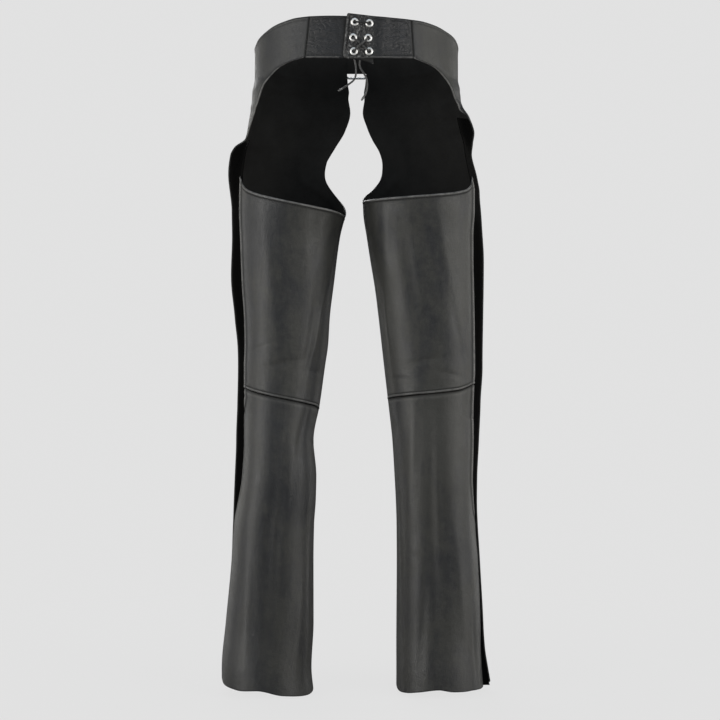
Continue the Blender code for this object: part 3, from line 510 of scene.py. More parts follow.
def ease(x, first=0.0, last=1.0):
    """0 before first, 1 past last, and a smooth rise between."""
    x = np.clip((x - first) / (last - first), 0.0, 1.0)
    return x * x * (3 - 2 * x)


def near(distance, reach):
    return np.exp(-((distance / reach) ** 2))


def between(first, last, share):
    return first + (last - first) * share


def wrap(angle):
    """The same angle, from -180 to 180."""
    return (angle + 180.0) % 360.0 - 180.0


def unit(vectors):
    return vectors / np.linalg.norm(vectors, axis=-1, keepdims=True)


def edge_height(edge, angle):
    """The height in metres of an edge that is given as (angle, height in millimetres) rows."""
    return smooth_curve(*zip(*edge), angle) * MM


def creased(creases, angles, heights, degree):
    """How far creases move the leather out. degree is what one degree measures round it."""
    total = 0.0
    for angle, z, turn, length, width, depth in creases:
        along, above = wrap(angles - angle) * degree, heights / MM - z
        c, s = math.cos(math.radians(turn)), math.sin(math.radians(turn))
        u, v = (along * c + above * s) / length, (above * c - along * s) / width
        total = total + depth * np.exp(-(u**2) - v**2)
    return total


class Side:
    """One side of the garment: its surface, from the tables above. side is 1 for the left, or -1."""

    def __init__(self, name, side, sections, folds, creases, hip, edges):
        self.name, self.side = name, side
        self.columns = dict(zip(SECTION_COLUMNS, zip(*sections)))
        self.folds, self.creases = folds, creases
        self.hip = np.array(hip).T
        self.last_row = RINGS + len(hip) - 1
        self.belt_top, self.hem, self.knee, self.thigh_top = edges

    def read(self, column, z):
        return smooth_curve(self.columns["z"], self.columns[column], np.asarray(z, float) / MM)

    def base(self, angle, z):
        """Points of the leather's outer face, not yet mirrored."""
        inner, outer, front, back, flare, flap, edge = (self.read(name, z) for name in SECTION_COLUMNS[1:])
        turn = np.radians(angle)
        across, along = np.cos(turn), np.sin(turn)
        half_width, half_depth = (outer - inner) / 2, (back - front) / 2
        radius = (
            (np.abs(across) / half_width) ** SECTION_POWER
            + (np.abs(along) / half_depth) ** SECTION_POWER
        ) ** (-1 / SECTION_POWER)
        wrapped = wrap(angle)
        rising = ease(1.0 + (wrapped - flap) / FLARE_REACH)
        falling = 1.0 - ease((wrapped - flap) / np.maximum(edge - flap, 1e-6))
        radius = radius + flare * rising * falling
        for fold_angle, fold_z, half_angle, half_height, depth in self.folds:
            level = depth * near(z / MM - fold_z, half_height)
            radius = radius + level * near(wrap(wrapped - fold_angle), half_angle)
        radius = radius + creased(self.creases, wrapped, z, LEG_DEGREE)
        x = (inner + outer) / 2 + radius * across
        y = (front + back) / 2 + radius * along
        return np.stack([x * MM, y * MM, np.broadcast_to(z, np.shape(x))], axis=-1)

    def point(self, angle, z, out=0.0):
        """Points on the outer face, moved out by out metres along its normals, in the garment's frame."""
        angle, z = np.broadcast_arrays(np.asarray(angle, float), np.asarray(z, float))
        small_angle, small_z = 0.05, 0.05 * MM
        round_it = self.base(angle + small_angle, z) - self.base(angle - small_angle, z)
        up = self.base(angle, z + small_z) - self.base(angle, z - small_z)
        points = self.base(angle, z) + unit(np.cross(round_it, up)) * np.asarray(out, float)[..., None]
        return points * (self.side, 1.0, 1.0)

    def ring_height(self, ring, angle):
        """The height of a ring of the leg at an angle of its back. Ring 0 is the hem."""
        if ring <= CALF_RINGS:
            foot, top, share = self.hem, self.knee, ring / CALF_RINGS
        else:
            foot, top, share = self.knee, self.thigh_top, (ring - CALF_RINGS) / THIGH_RINGS
        return between(edge_height(foot, angle), edge_height(top, angle), share)

    def ring_end(self, ring):
        """The angle and height at which a ring meets the back panel's outer edge."""
        angle = COMMON_EDGE
        for _ in range(FITTING_ROUNDS):
            height = float(self.ring_height(ring, angle))
            angle = float(self.read("edge", height))
        return angle, height


LEFT_EDGES = (LEFT_TOP, LEFT_HEM, LEFT_KNEE, LEFT_THIGH_TOP)
RIGHT_EDGES = (RIGHT_TOP, RIGHT_HEM, RIGHT_KNEE, RIGHT_THIGH_TOP)
LEFT = Side("left", 1, LEFT_SECTIONS, LEFT_FOLDS, LEFT_CREASES, LEFT_HIP, LEFT_EDGES)
RIGHT = Side("right", -1, RIGHT_SECTIONS, RIGHT_FOLDS, RIGHT_CREASES, RIGHT_HIP, RIGHT_EDGES)


def steps_of(profile):
    """How far in from an edge the points stand, in metres."""
    return np.array([distance for distance, _ in profile]) * MM


def rise_of(profile, distance):
    return smooth_curve(*zip(*profile), distance / MM) * MM


def spread(length, first, last, step):
    """Distances along a line: the first edge's, even ones about a step apart, and the last edge's."""
    first, last = steps_of(first), steps_of(last)
    count = max(2, round(float(np.max(length) - first[-1] - last[-1]) / step))
    middle = np.linspace(0.0, 1.0, count + 1)[1:-1]
    length = np.atleast_1d(length)[:, None]
    even = first[-1] + (length - first[-1] - last[-1]) * middle
    return np.hstack([np.broadcast_to(first, (len(length), len(first))), even, length - last[::-1]])


def placed_across(side, ends, first, last, step):
    """The angles of a grid's points, and their distances from both ends of their rows. ends has the angle and
    the height at each row's two ends."""
    share = np.linspace(0.0, 1.0, ROW_SAMPLES)
    heights = between(ends[:, 1:2], ends[:, 3:4], share)
    points = side.base(between(ends[:, 0:1], ends[:, 2:3], share), heights)
    reach = np.linalg.norm(np.diff(points, axis=1), axis=-1).cumsum(axis=1)
    reach = np.hstack([np.zeros((len(reach), 1)), reach])
    distances = spread(reach[:, -1], first, last, step)
    shares = np.array([np.interp(row, along, share) for row, along in zip(distances, reach)])
    return between(ends[:, 0:1], ends[:, 2:3], shares), distances, reach[:, -1:] - distances


def relief(*edges):
    """The rise of the leather from its edges: the highest of the ridges and the deepest of the hollows."""
    return np.maximum.reduce([*edges, 0 * edges[0]]) + np.minimum.reduce([*edges, 0 * edges[0]])


def rises(*edges):
    """The relief of edges that are given as (profile, distance from it)."""
    return relief(*(rise_of(*edge) for edge in edges))


def worn_with_painted_light(*distances, sunk=(), dark=()):
    """How worn the leather is at these distances from its folded edges: real wear with a painted highlight on
    each fold, and a painted shadow in its stitch groove. sunk has the distances from seams, and dark those
    from edges that are painted black."""
    wear_with_painted_light = smooth_curve(*zip(*WORN_WITH_PAINTED_LIGHT), np.minimum.reduce(distances) / MM)
    for distance in sunk:
        wear_with_painted_light = wear_with_painted_light - SEAM_DARK[0] * near(distance, SEAM_DARK[1])
    for distance in dark:
        wear_with_painted_light = wear_with_painted_light - PAINTED[0] * (1 - ease(distance, *PAINTED[1:]))
    return np.clip(wear_with_painted_light, -1.0, 1.0)


def add_object(name, data):
    obj = bpy.data.objects.new(name, data)
    bpy.context.scene.collection.objects.link(obj)
    return obj


def add_piece(name, data, looks, node=None):
    """A piece of the garment from its mesh or curve. It is shown in place of the frame's node."""
    for look in looks:
        data.materials.append(look)
    obj = add_object(name, data)
    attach(obj, "root")
    if node:
        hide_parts(node)
    return obj


def shell(name, outer, inner, fields):
    """A closed shell between two equal grids. Its outer side has the first look, and the rest the second."""
    rows, columns = outer.shape[:2]
    count = rows * columns
    index = np.arange(count).reshape(rows, columns)
    quads = np.stack([index[:-1, :-1], index[:-1, 1:], index[1:, 1:], index[1:, :-1]], axis=-1)
    quads = quads.reshape(-1, 4)
    rim = np.concatenate([index[0, :], index[1:, -1], index[-1, -2::-1], index[-2:0:-1, 0]])
    after = np.roll(rim, -1)
    band = np.stack([after, rim, rim + count, after + count], axis=-1)
    faces = np.concatenate([quads, quads[:, ::-1] + count, band])
    front = np.cross(outer[1, 1] - outer[1, 0], outer[2, 1] - outer[1, 1])
    if np.dot(front, (outer - inner)[1, 1]) < 0:
        faces = faces[:, ::-1]
    data = bpy.data.meshes.new(name)
    data.vertices.add(2 * count)
    data.vertices.foreach_set("co", np.concatenate([outer, inner]).ravel())
    data.loops.add(faces.size)
    data.loops.foreach_set("vertex_index", faces.ravel().astype(np.int32))
    data.polygons.add(len(faces))
    data.polygons.foreach_set("loop_start", np.arange(0, faces.size, 4, dtype=np.int32))
    data.polygons.foreach_set("material_index", (np.arange(len(faces)) >= len(quads)).astype(np.int32))
    data.update(calc_edges=True)
    data.validate()
    data.shade_smooth()
    data.set_sharp_from_angle(angle=SHARP)
    for attribute, field in fields.items():
        value = np.concatenate([np.broadcast_to(field, (rows, columns)).ravel(), np.zeros(count)])
        data.attributes.new(attribute, "FLOAT", "POINT").data.foreach_set("value", value.astype(np.float32))
    return data


class Panel:
    """A piece of leather on a side's surface, as grids of points, with the lines that its stitches follow."""

    def __init__(self, name, node, side, angles, heights, rise, wear_with_painted_light, slot, looks, lift=0.0,
                 thickness=LEATHER, crushed=0.0):
        self.outer = side.point(angles, heights, lift + rise)
        inner = side.point(angles, heights, lift - thickness)
        self.out = unit(self.outer - inner)
        data = shell(name, self.outer, inner, {"wear_with_painted_light": wear_with_painted_light, "crushed": crushed})
        self.obj = add_piece(name, data, looks, node)

    def column(self, number, first, last):
        return self.outer[first:last, number], self.out[first:last, number]

    def row(self, number, first, last):
        return self.outer[number, first:last], self.out[number, first:last]


def front_row(side, k):
    """The angle and height of both ends of a row of the front panel. Row 0 is the hem."""
    if k <= RINGS:
        end_z = side.ring_end(k)[1]
        return -180.0, float(side.ring_height(k, 180.0)), float(side.read("flap", end_z)), end_z
    corner = side.last_row - RINGS - BELT_SEAM_ROWS  # the foot of the belt's seam, a sharp corner
    part = slice(0, corner + 1) if k - RINGS <= corner else slice(corner, None)
    numbers = np.arange(side.last_row - RINGS + 1)[part]
    front_angle, front_z, rear_angle, rear_z = (float(smooth_curve(numbers, column[part], k - RINGS))
                                                for column in side.hip)
    return front_angle - 360.0, front_z * MM, rear_angle, rear_z * MM


def front_heights(side, k, ends, angles):
    """The heights of points at these angles in row k, whose ends are given."""
    front_angle, front_z, rear_angle, rear_z = ends
    share = (angles - front_angle) / (rear_angle - front_angle)
    heights = between(front_z, rear_z, share)
    for edge, end_row, reach in ((side.hem, 0, HEM_REACH), (side.belt_top, side.last_row, TOP_REACH)):
        fade = float(ease(1.0 - abs(k - end_row) / reach)) ** 2
        if fade > 0:
            _, first_z, _, last_z = front_row(side, end_row)
            heights = heights + fade * (edge_height(edge, angles) - between(first_z, last_z, share))
    return heights


def front_panel(side, looks):
    coarse = np.linspace(0, side.last_row, ROW_PARTS * side.last_row + 1)
    ends = np.array([front_row(side, k) for k in coarse])
    line = side.base(ends[:, [0, 2]], ends[:, [1, 3]])
    reach = np.append(0.0, np.linalg.norm(np.diff(line, axis=0), axis=-1).mean(axis=1).cumsum())
    up = spread(reach[-1], CUT, FOLDED, FRONT_GRID[0])[0]
    rows = np.interp(up, reach, coarse)
    ends = np.array([front_row(side, k) for k in rows])
    angles, from_front, from_rear = placed_across(side, ends, FOLDED, FOLDED, FRONT_GRID[1])
    heights = np.array([front_heights(side, *row) for row in zip(rows, ends, angles)])
    up, row = up[:, None] + 0 * angles, rows[:, None]
    down = reach[-1] - up
    above_seam = ease((row - RINGS) / ABOVE_SEAM)
    at_belt = ease((row - (side.last_row - BELT_SEAM_ROWS)) / AT_BELT)
    at_flap = 1 - ease(row - RINGS - TAPE_TOP_ROW[side.name] + 0.5)
    rise = relief(
        between(rise_of(SEAMED, from_front), rise_of(FOLDED, from_front), above_seam),
        between(rise_of(FOLDED, from_rear), rise_of(SEAMED, from_rear), at_belt),
        rise_of(CUT, up), rise_of(FOLDED, down),
    )
    wear_with_painted_light = worn_with_painted_light(
        from_front + FAR * (1 - above_seam), from_rear + FAR * (at_belt + at_flap),
        sunk=(from_front + FAR * above_seam, from_rear + FAR * (1 - at_belt)),
        dark=(from_rear + FAR * (1 - at_flap), down + PAINTED_TOP["front"]),
    )
    panel = Panel(side.name + "_front_leather", side.name + "_front_panel", side, angles, heights, rise,
                  wear_with_painted_light, "leather", looks)
    seam_row = int(np.searchsorted(rows, RINGS))
    belt_row = int(np.searchsorted(rows, side.last_row - BELT_SEAM_ROWS))
    panel.lines = [
        panel.column(-1 - STITCHED, 2, belt_row - 1),
        panel.column(STITCHED, seam_row + 4, -STITCHED),
        panel.row(-1 - STITCHED, STITCHED, -4),
    ]
    return panel


def back_panel(side, part, looks):
    """The back of a thigh or of a calf."""
    thigh = part == "thigh"
    if thigh:
        first, last, foot, top = CALF_RINGS, RINGS, FOLDED, FOLDED
    else:
        first, last, foot, top = 0, CALF_RINGS, CUT, TUCKED
    height = float(side.ring_height(last, 90.0) - side.ring_height(first, 90.0))
    up = spread(height, foot, top, BACK_GRID[0])[0]
    rows = first + (last - first) * up / height
    seam = 180.0 - math.degrees(GAP / INSEAM_RADIUS)
    ends = np.array([(*side.ring_end(ring), seam, float(side.ring_height(ring, seam))) for ring in rows])
    angles, from_edge, from_seam = placed_across(side, ends, FOLDED, SEAMED, BACK_GRID[1])
    heights = np.array([side.ring_height(*row) for row in zip(rows, angles)])
    up = up[:, None] + 0 * angles
    down = height - up
    rise = rises((FOLDED, from_edge), (SEAMED, from_seam), (foot, up), (top, down))
    if thigh:
        at_seam = 1 - ease(from_seam / SEAM_FADE)
        wear_with_painted_light = relief(worn_with_painted_light(from_edge / SIDE_WEAR_AND_LIGHT), worn_with_painted_light(down + FAR * at_seam, sunk=[from_seam]))
        wear_with_painted_light = relief(wear_with_painted_light, smooth_curve(*zip(*KNEE_WORN_WITH_PAINTED_LIGHT), up / MM))
        heights = heights + THIGH_FOOT[0] * ease(1 - up / THIGH_FOOT[1])
    else:
        below = ease((down - RUBBED_AND_LIT[side.name]) / RUBBED_AND_LIT_FADE)
        wear_with_painted_light = worn_with_painted_light(from_edge / SIDE_WEAR_AND_LIGHT + FAR * below, sunk=(from_seam, down / 1.4))
        wear_with_painted_light = relief(wear_with_painted_light, CALF_RIDGE[0] * near(down / MM - CALF_RIDGE[1], 1))
        heights = heights - GAP * ease(1 - down / CALF_TOP_FADE)
    # Painted shade along the inseam, where the legs shade each other.
    shade, shade_from, shade_fade = INNER_SHADE
    wear_with_painted_light = np.clip(wear_with_painted_light - shade * (1 - ease((from_seam - shade_from) / shade_fade)), -1, 1)
    panel = Panel(f"{side.name}_{part}_leather", f"{side.name}_{part}_back", side, angles, heights, rise,
                  wear_with_painted_light, "leather", looks)
    if thigh:
        panel.lines = [panel.column(STITCHED, STITCHED, -STITCHED), panel.row(STITCHED, STITCHED, -3),
                       panel.row(-1 - STITCHED, STITCHED, -3)]
    else:
        panel.lines = [panel.column(STITCHED, 2, -3)]
    return panel


def closure_tape(side, looks):
    """The black strip between the flap and the back panel, slightly hollow across."""
    rows = np.linspace(TAPE_FOOT, RINGS + TAPE_TOP_ROW[side.name], TAPE_GRID[0])
    share = np.linspace(0.0, 1.0, TAPE_GRID[1])
    angles, heights = [], []
    for k in rows:
        ends = front_row(side, k)
        flap, level = ends[2:]
        edge = float(side.read("edge", level))
        under = flap - np.array([1.0, 0.5]) * TAPE_LAPS["flap"]
        angles.append(np.concatenate([under, between(flap, edge, share), [edge + TAPE_LAPS["back"]]]))
        heights.append(np.full(len(angles[-1]), level))
        heights[-1][:2] = front_heights(side, k, ends, under)
        if k <= RINGS:
            heights[-1][-1] = float(side.ring_height(k, angles[-1][-1]))
    angles, heights = np.array(angles), np.array(heights)
    rise = np.zeros(angles.shape)
    rise[:, 2:-1] = -TAPE_HOLLOW * np.sin(np.pi * share) ** 2
    Panel(side.name + "_tape", side.name + "_zip_tape", side, angles, heights, rise, 0.0, "tape", looks,
          -LEATHER - GAP, TAPE)


def rounded(angles, heights, from_end, from_edge, radius):
    """The points with the corner between the end and an edge rounded. radius is below 0 at the top."""
    a, b = np.maximum(abs(radius) - from_end, 0), np.maximum(abs(radius) - from_edge, 0)
    shrink = 1 - np.maximum(a, b) / np.maximum(np.hypot(a, b), 1e-9)
    shrink = np.where(np.minimum(a, b) > 0, shrink, 0.0)
    return angles - a * shrink / MM / BELT_DEGREE, heights + math.copysign(1, radius) * b * shrink


def belt_half(side, ends, foot, top, looks):
    """One half of the belt at the back. The right half climbs on to the left one."""
    lapping = side is RIGHT
    up = spread(BELT_HEIGHT, FOLDED, FOLDED, BELT_GRID[0])[0] / BELT_HEIGHT
    seam, free = (between(ends["foot"][k], ends["top"][k], up) for k in (0, 1))
    row_ends = np.stack([seam + math.degrees(GAP / BELT_RADIUS), 0 * up, free, 0 * up], axis=-1)
    free_edge = FOLDED if lapping else CUT
    angles, from_seam, from_end = placed_across(side, row_ends, SEAMED, free_edge, BELT_GRID[1])
    up = up[:, None] + 0 * angles
    heights = between(edge_height(foot, angles), edge_height(top, angles), up)
    low, high = up * BELT_HEIGHT, (1 - up) * BELT_HEIGHT
    lift, under, crushed = 0 * angles, 0 * angles, 0.0
    if lapping:
        lift = (BELT_LEATHER + BELT_LAP_GAP) * ease(angles, *BELT_RISE)
        angles, heights = rounded(angles, heights, from_end, low, TAB_CORNER)
        angles, heights = rounded(angles, heights, from_end, high, -TAB_CORNER / 3)
        crushed = ease(angles, *CRUSHED)
    else:
        under = ease(angles, *UNDER_TAB)
    rise = rises((SEAMED, from_seam), (free_edge, from_end), (FOLDED, low), (FOLDED, high))
    rise = rise + creased(BELT_CRINKLES[side.name], angles, heights, BELT_DEGREE) * MM
    ends_worn_and_lit = worn_with_painted_light(from_end + FAR * (not lapping), sunk=[from_seam], dark=[high + PAINTED_TOP["belt"]])
    wear_with_painted_light = relief(BELT_FOOT_WEAR_AND_LIGHT * worn_with_painted_light(low + FAR * under), ends_worn_and_lit)
    # Painted shade where the left half goes under the tab; its lower corner there is lighter with wear.
    corner, corner_radius = HIDDEN_CORNER
    wear_with_painted_light = wear_with_painted_light - UNDER_TAB_SHADE * under + corner * under * near(np.hypot(from_end, low), corner_radius)
    if lapping:
        corner, corner_radius, corner_in, corner_up = WORN_CORNER
        wear_with_painted_light = wear_with_painted_light + corner * near(np.hypot(from_end - corner_in, low - corner_up), corner_radius)
    belt = Panel(side.name + "_belt_leather", side.name + "_back_belt", side, angles, heights, rise,
                 np.clip(wear_with_painted_light, -1, 1), "belt_leather", looks, lift, BELT_LEATHER, crushed)
    belt.lines = [belt.row(STITCHED, 4, -STITCHED), belt.row(-1 - STITCHED, 4, -STITCHED)]
    if lapping:
        belt.lines.append(belt.column(-1 - STITCHED, STITCHED, -STITCHED))
    return belt


def read_line(line, reach, distance):
    """What a line of points says at a distance along it, where reach is how far along its points are."""
    return np.array([np.interp(distance, reach, line[:, axis]) for axis in range(3)])


def stitches(name, lines, look):
    """Stitches along lines of points that are given with the ways out of the leather, as one piece."""
    turns = np.arange(STITCH_SIDES) * 2 * np.pi / STITCH_SIDES
    points, faces = [], []
    for line, out in lines:
        reach = np.append(0.0, np.linalg.norm(np.diff(line, axis=0), axis=-1).cumsum())
        for middle in np.arange(STITCH_PITCH, reach[-1] - STITCH_PITCH, STITCH_PITCH):
            place = read_line(line, reach, middle)
            way = unit(read_line(line, reach, middle + 1 * MM) - read_line(line, reach, middle - 1 * MM))
            side = unit(np.cross(way, read_line(out, reach, middle)))
            up = np.cross(side, way)
            rings = len(points) + np.arange(len(STITCH_RINGS) * STITCH_SIDES).reshape(-1, STITCH_SIDES)
            for along, thick, height in STITCH_RINGS:
                centre = place + way * along * STITCH_LENGTH + up * height * THREAD
                points += [centre + (side * math.cos(turn) + up * math.sin(turn)) * thick * THREAD
                           for turn in turns]
            after = np.roll(rings, -1, axis=1)
            sides = np.stack([rings[:-1], after[:-1], after[1:], rings[1:]], axis=-1).reshape(-1, 4)
            faces += [*sides.tolist(), rings[0, ::-1].tolist(), rings[-1].tolist()]
    data = bpy.data.meshes.new(name)
    data.from_pydata(points, [], faces)
    data.shade_smooth()
    add_piece(name, data, [look])


def back_angle(x):
    """The angle on the right side at which the belt's outer face is x across."""
    angle = math.degrees(math.atan2(BELT_RADIUS, -x))
    for _ in range(FITTING_ROUNDS):
        y = float(RIGHT.point(angle, 0.0, BELT_LEATHER + BELT_LAP_GAP)[1])
        angle = math.degrees(math.atan2(y, -x))
    return angle


def tab_point(x, z, out):
    """The point at (x, z) millimetres on the lacing tab's outer face, moved out by out millimetres."""
    on_tab = BELT_LEATHER + BELT_LAP_GAP
    return Vector(RIGHT.point(back_angle(x * MM), z * MM, on_tab + out * MM))


def tab_frame(x, z, out):
    """Where an eyelet stands on the tab: its origin, out metres off the outer face, and Z out of it."""
    origin = tab_point(x, z, 0.0)
    way = (tab_point(x, z, 1.0) - origin).normalized()
    turn = way.to_track_quat("Z", "Y").to_matrix().to_4x4()
    return Matrix.Translation(origin) @ turn @ Matrix.Translation((0, 0, out))


def cut_holes(obj, radius):
    """Cuts a hole at each eyelet's place through one half of the belt."""
    mesh = bmesh.new()
    for x, z in EYELETS.values():
        bmesh.ops.create_cone(mesh, cap_ends=True, segments=HOLE_SIDES, radius1=radius, radius2=radius,
                              depth=8 * BELT_LEATHER, matrix=tab_frame(x, z, -BELT_LEATHER))
    data = bpy.data.meshes.new("holes")
    mesh.to_mesh(data)
    mesh.free()
    cutter = add_object("holes", data)
    cut = obj.modifiers.new("holes", "BOOLEAN")
    cut.operation = "DIFFERENCE"
    cut.solver = "EXACT"
    cut.object = cutter
    bpy.context.view_layer.update()
    made = bpy.data.meshes.new_from_object(obj.evaluated_get(bpy.context.evaluated_depsgraph_get()))
    obj.modifiers.clear()
    obj.data = made
    made.shade_smooth()
    made.set_sharp_from_angle(angle=SHARP)
    bpy.data.objects.remove(cutter, do_unlink=True)


def eyelets(look, shaded_barrel_look):
    """The eyelets, each a closed profile turned round the way out of the tab."""
    size = len(EYELET_PROFILE)
    turns = np.arange(EYELET_STEPS) * 2 * np.pi / EYELET_STEPS
    points = [(r * MM * math.cos(turn), r * MM * math.sin(turn), height * MM)
              for turn in turns for r, height in EYELET_PROFILE]
    index = np.arange(len(points)).reshape(-1, size)
    above, beside = np.roll(index, -1, axis=1), np.roll(index, -1, axis=0)
    faces = np.stack([index, beside, np.roll(beside, -1, axis=1), above], axis=-1).reshape(-1, 4).tolist()
    for name, (x, z) in EYELETS.items():
        data = bpy.data.meshes.new("ring_" + name)
        data.from_pydata(points, [], faces)
        data.shade_smooth()
        data.set_sharp_from_angle(angle=math.radians(50))
        data.polygons.foreach_set("material_index", [k % size in EYELET_BARREL for k in range(len(faces))])
        data.transform(tab_frame(x, z, GAP))
        add_piece("ring_" + name, data, [look, shaded_barrel_look], "eyelet_" + name)


def evenly(points, step):
    """Points about a step apart on the smooth curve through the points, both ends kept."""
    points = [Vector(p) for p in points]
    ends = [2 * points[0] - points[1], *points, 2 * points[-1] - points[-2]]
    fine = []
    for a, b, c, d in zip(ends, ends[1:], ends[2:], ends[3:]):
        for t in np.arange(CURVE_PARTS) / CURVE_PARTS:
            bend = (2 * a - 5 * b + 4 * c - d) * t * t + (3 * b - a - 3 * c + d) * t**3
            fine.append(b + ((c - a) * t + bend) / 2)
    fine.append(points[-1])
    length = [0.0]
    for first, second in zip(fine, fine[1:]):
        length.append(length[-1] + (second - first).length)
    line = []
    for target in np.linspace(0.0, length[-1], max(2, round(length[-1] / step)) + 1):
        k = min(np.searchsorted(length, target, side="right") - 1, len(fine) - 2)
        line.append(fine[k].lerp(fine[k + 1], (target - length[k]) / (length[k + 1] - length[k])))
    return line


def tube(name, node, line, radii, look, closed=False, resolution=5):
    """A round tube along a line of points."""
    data = bpy.data.curves.new(name, "CURVE")
    data.dimensions = "3D"
    data.bevel_depth = max(radii)
    data.bevel_resolution = resolution
    data.use_fill_caps = not closed
    spline = data.splines.new("POLY")
    spline.points.add(len(line) - 1)
    for point, place, share in zip(spline.points, line, np.linspace(0, 1, len(line))):
        point.co = (*place, 1.0)
        point.radius = float(np.interp(share, np.linspace(0, 1, len(radii)), radii)) / max(radii)
    spline.use_cyclic_u = closed
    spline.use_smooth = True
    return add_piece(name, data, [look], node)


def way_between(first, last):
    """The way from one eyelet to another on the tab."""
    (x0, z0), (x1, z1) = EYELETS[first], EYELETS[last]
    length = math.hypot(x1 - x0, z1 - z0)
    return (x1 - x0) / length, (z1 - z0) / length


def held_lace(look):
    """The lace where the tab holds it: up inside from the bottom left, across itself, and down."""
    route = []
    for name, outer, inner, inward, over in LACE_ROUTE:
        x, z = EYELETS[name]
        points = []
        for steps, to in ((OUTER_STEPS, outer), (INNER_STEPS, inner)):
            way = way_between(name, to) if to in EYELETS else to
            points += [(x + way[0] * far, z + way[1] * far, out) for far, out in steps]
        route += points if inward else points[::-1]
        if over:
            (x0, z0), (x1, z1) = EYELETS[name], EYELETS[outer]
            route.append(((x0 + x1) / 2, (z0 + z1) / 2, over))
    line = evenly([tab_point(*point) for point in route], 1.0 * MM)
    tube("lace_held", "lace", line, [LACE_RADIUS] * 2, look)


def free_ends(lace_look, tip_look):
    """The two free ends of the lace, each with its moulded tip."""
    for name, route in (("left", LEFT_END), ("right", RIGHT_END)):
        line = evenly([Vector(point) * MM for point in route], END_STEP)
        way = (line[-1] - line[-2]).normalized()
        tip_line = [line[-1] + way * (GAP + along) for along in np.linspace(0, TIP_LENGTH, len(TIP_RADII))]
        fine = evenly(line, 1.5 * MM)
        end = tube("lace_free_" + name, "lace_end_" + name, fine, [LACE_RADIUS] * 2, lace_look)
        radii = np.array(TIP_RADII) * MM
        tip = tube("lace_end_tip_" + name, "lace_tip_" + name, tip_line, radii, tip_look)


def front_angle(x):
    """The angle at which a point on the waist's front is x metres across."""
    return 270.0 + math.degrees(math.asin(x / WAIST_FRONT))


def strap_panel(name, node, ends, half_height, lift, thickness, over_bar, looks):
    """A strip across the middle of the front, between two angles. It stands over_bar further out over the
    buckle's heel bar."""
    width = float(np.linalg.norm(LEFT.base(ends[0], 0.0) - LEFT.base(ends[1], 0.0)))
    across = spread(width, CUT, CUT, STRAP_STEP)[0]
    low = spread(2 * half_height, STRAP_EDGE, STRAP_EDGE, STRAP_STEP)[0]
    low, across = np.meshgrid(low, across, indexing="ij")
    high = 2 * half_height - low
    angles = between(ends[0], ends[1], across / width)
    heights = STRAP_MIDDLE_Z - half_height + low
    rise = rises((STRAP_EDGE, low), (STRAP_EDGE, high), (CUT, across), (CUT, width - across))
    off_bar = np.abs(LEFT.point(angles, heights)[..., 0] - BUCKLE_WIDTH / 2)
    lift = lift + over_bar * (1 - ease((off_bar - HUMP_TOP) / HUMP_FALL))
    panel = Panel(name, node, LEFT, angles, heights, rise, worn_with_painted_light(low, high), "belt_leather", looks, lift,
                  thickness)
    return [panel.row(STRAP_STITCHED, 3, -3), panel.row(-1 - STRAP_STITCHED, 3, -3)]


def front_closure(looks, metal_look):
    """The strap that joins the two fronts, its chape, and its fastened frame buckle."""
    on_strap = GAP + STRAP_LEATHER
    lines = strap_panel("strap_leather", "front_strap", STRAP_ANGLES, STRAP_HALF_HEIGHT,
                        on_strap - STRAP_SINK, STRAP_LEATHER - STRAP_SINK, 0.0, looks)
    chape_ends = [front_angle(x) for x in CHAPE_ENDS]
    over_bar = 2 * BUCKLE_WIRE + BAR_CLEARANCE
    lines += strap_panel("chape_leather", "buckle_chape", chape_ends, CHAPE_HALF_HEIGHT,
                         on_strap + GAP + CHAPE_LEATHER, CHAPE_LEATHER, over_bar, looks)
    y = -WAIST_FRONT - on_strap - GAP - BUCKLE_WIRE
    line = []
    for corner, (across, up) in enumerate(((1, 1), (-1, 1), (-1, -1), (1, -1))):
        for step in range(CORNER_STEPS + 1):
            turn = math.radians(90 * (corner + step / CORNER_STEPS))
            x = across * (BUCKLE_WIDTH / 2 - BUCKLE_CORNER) + BUCKLE_CORNER * math.cos(turn)
            z = up * (BUCKLE_HEIGHT / 2 - BUCKLE_CORNER) + BUCKLE_CORNER * math.sin(turn)
            line.append(Vector((x, y, STRAP_MIDDLE_Z + z)))
    wire = [BUCKLE_WIRE] * 2
    tube("buckle_frame", "front_buckle", line, wire, metal_look, closed=True, resolution=8)
    reach = BUCKLE_WIDTH / 2
    prong_y = y - BUCKLE_WIRE - PRONG_WIRE - GAP
    prong = [(x, prong_y) for x in (PRONG_HEEL, PRONG_HEEL / 2, -reach / 2, -reach)]
    prong.append((-reach - PRONG_TIP[0], prong_y + PRONG_TIP[1]))
    line = evenly([(x, along, STRAP_MIDDLE_Z) for x, along in prong], 0.8 * MM)
    radii = np.array(PRONG_RADII) * MM
    tube("buckle_tongue", "buckle_prong", line, radii, metal_look, resolution=6)
    return lines


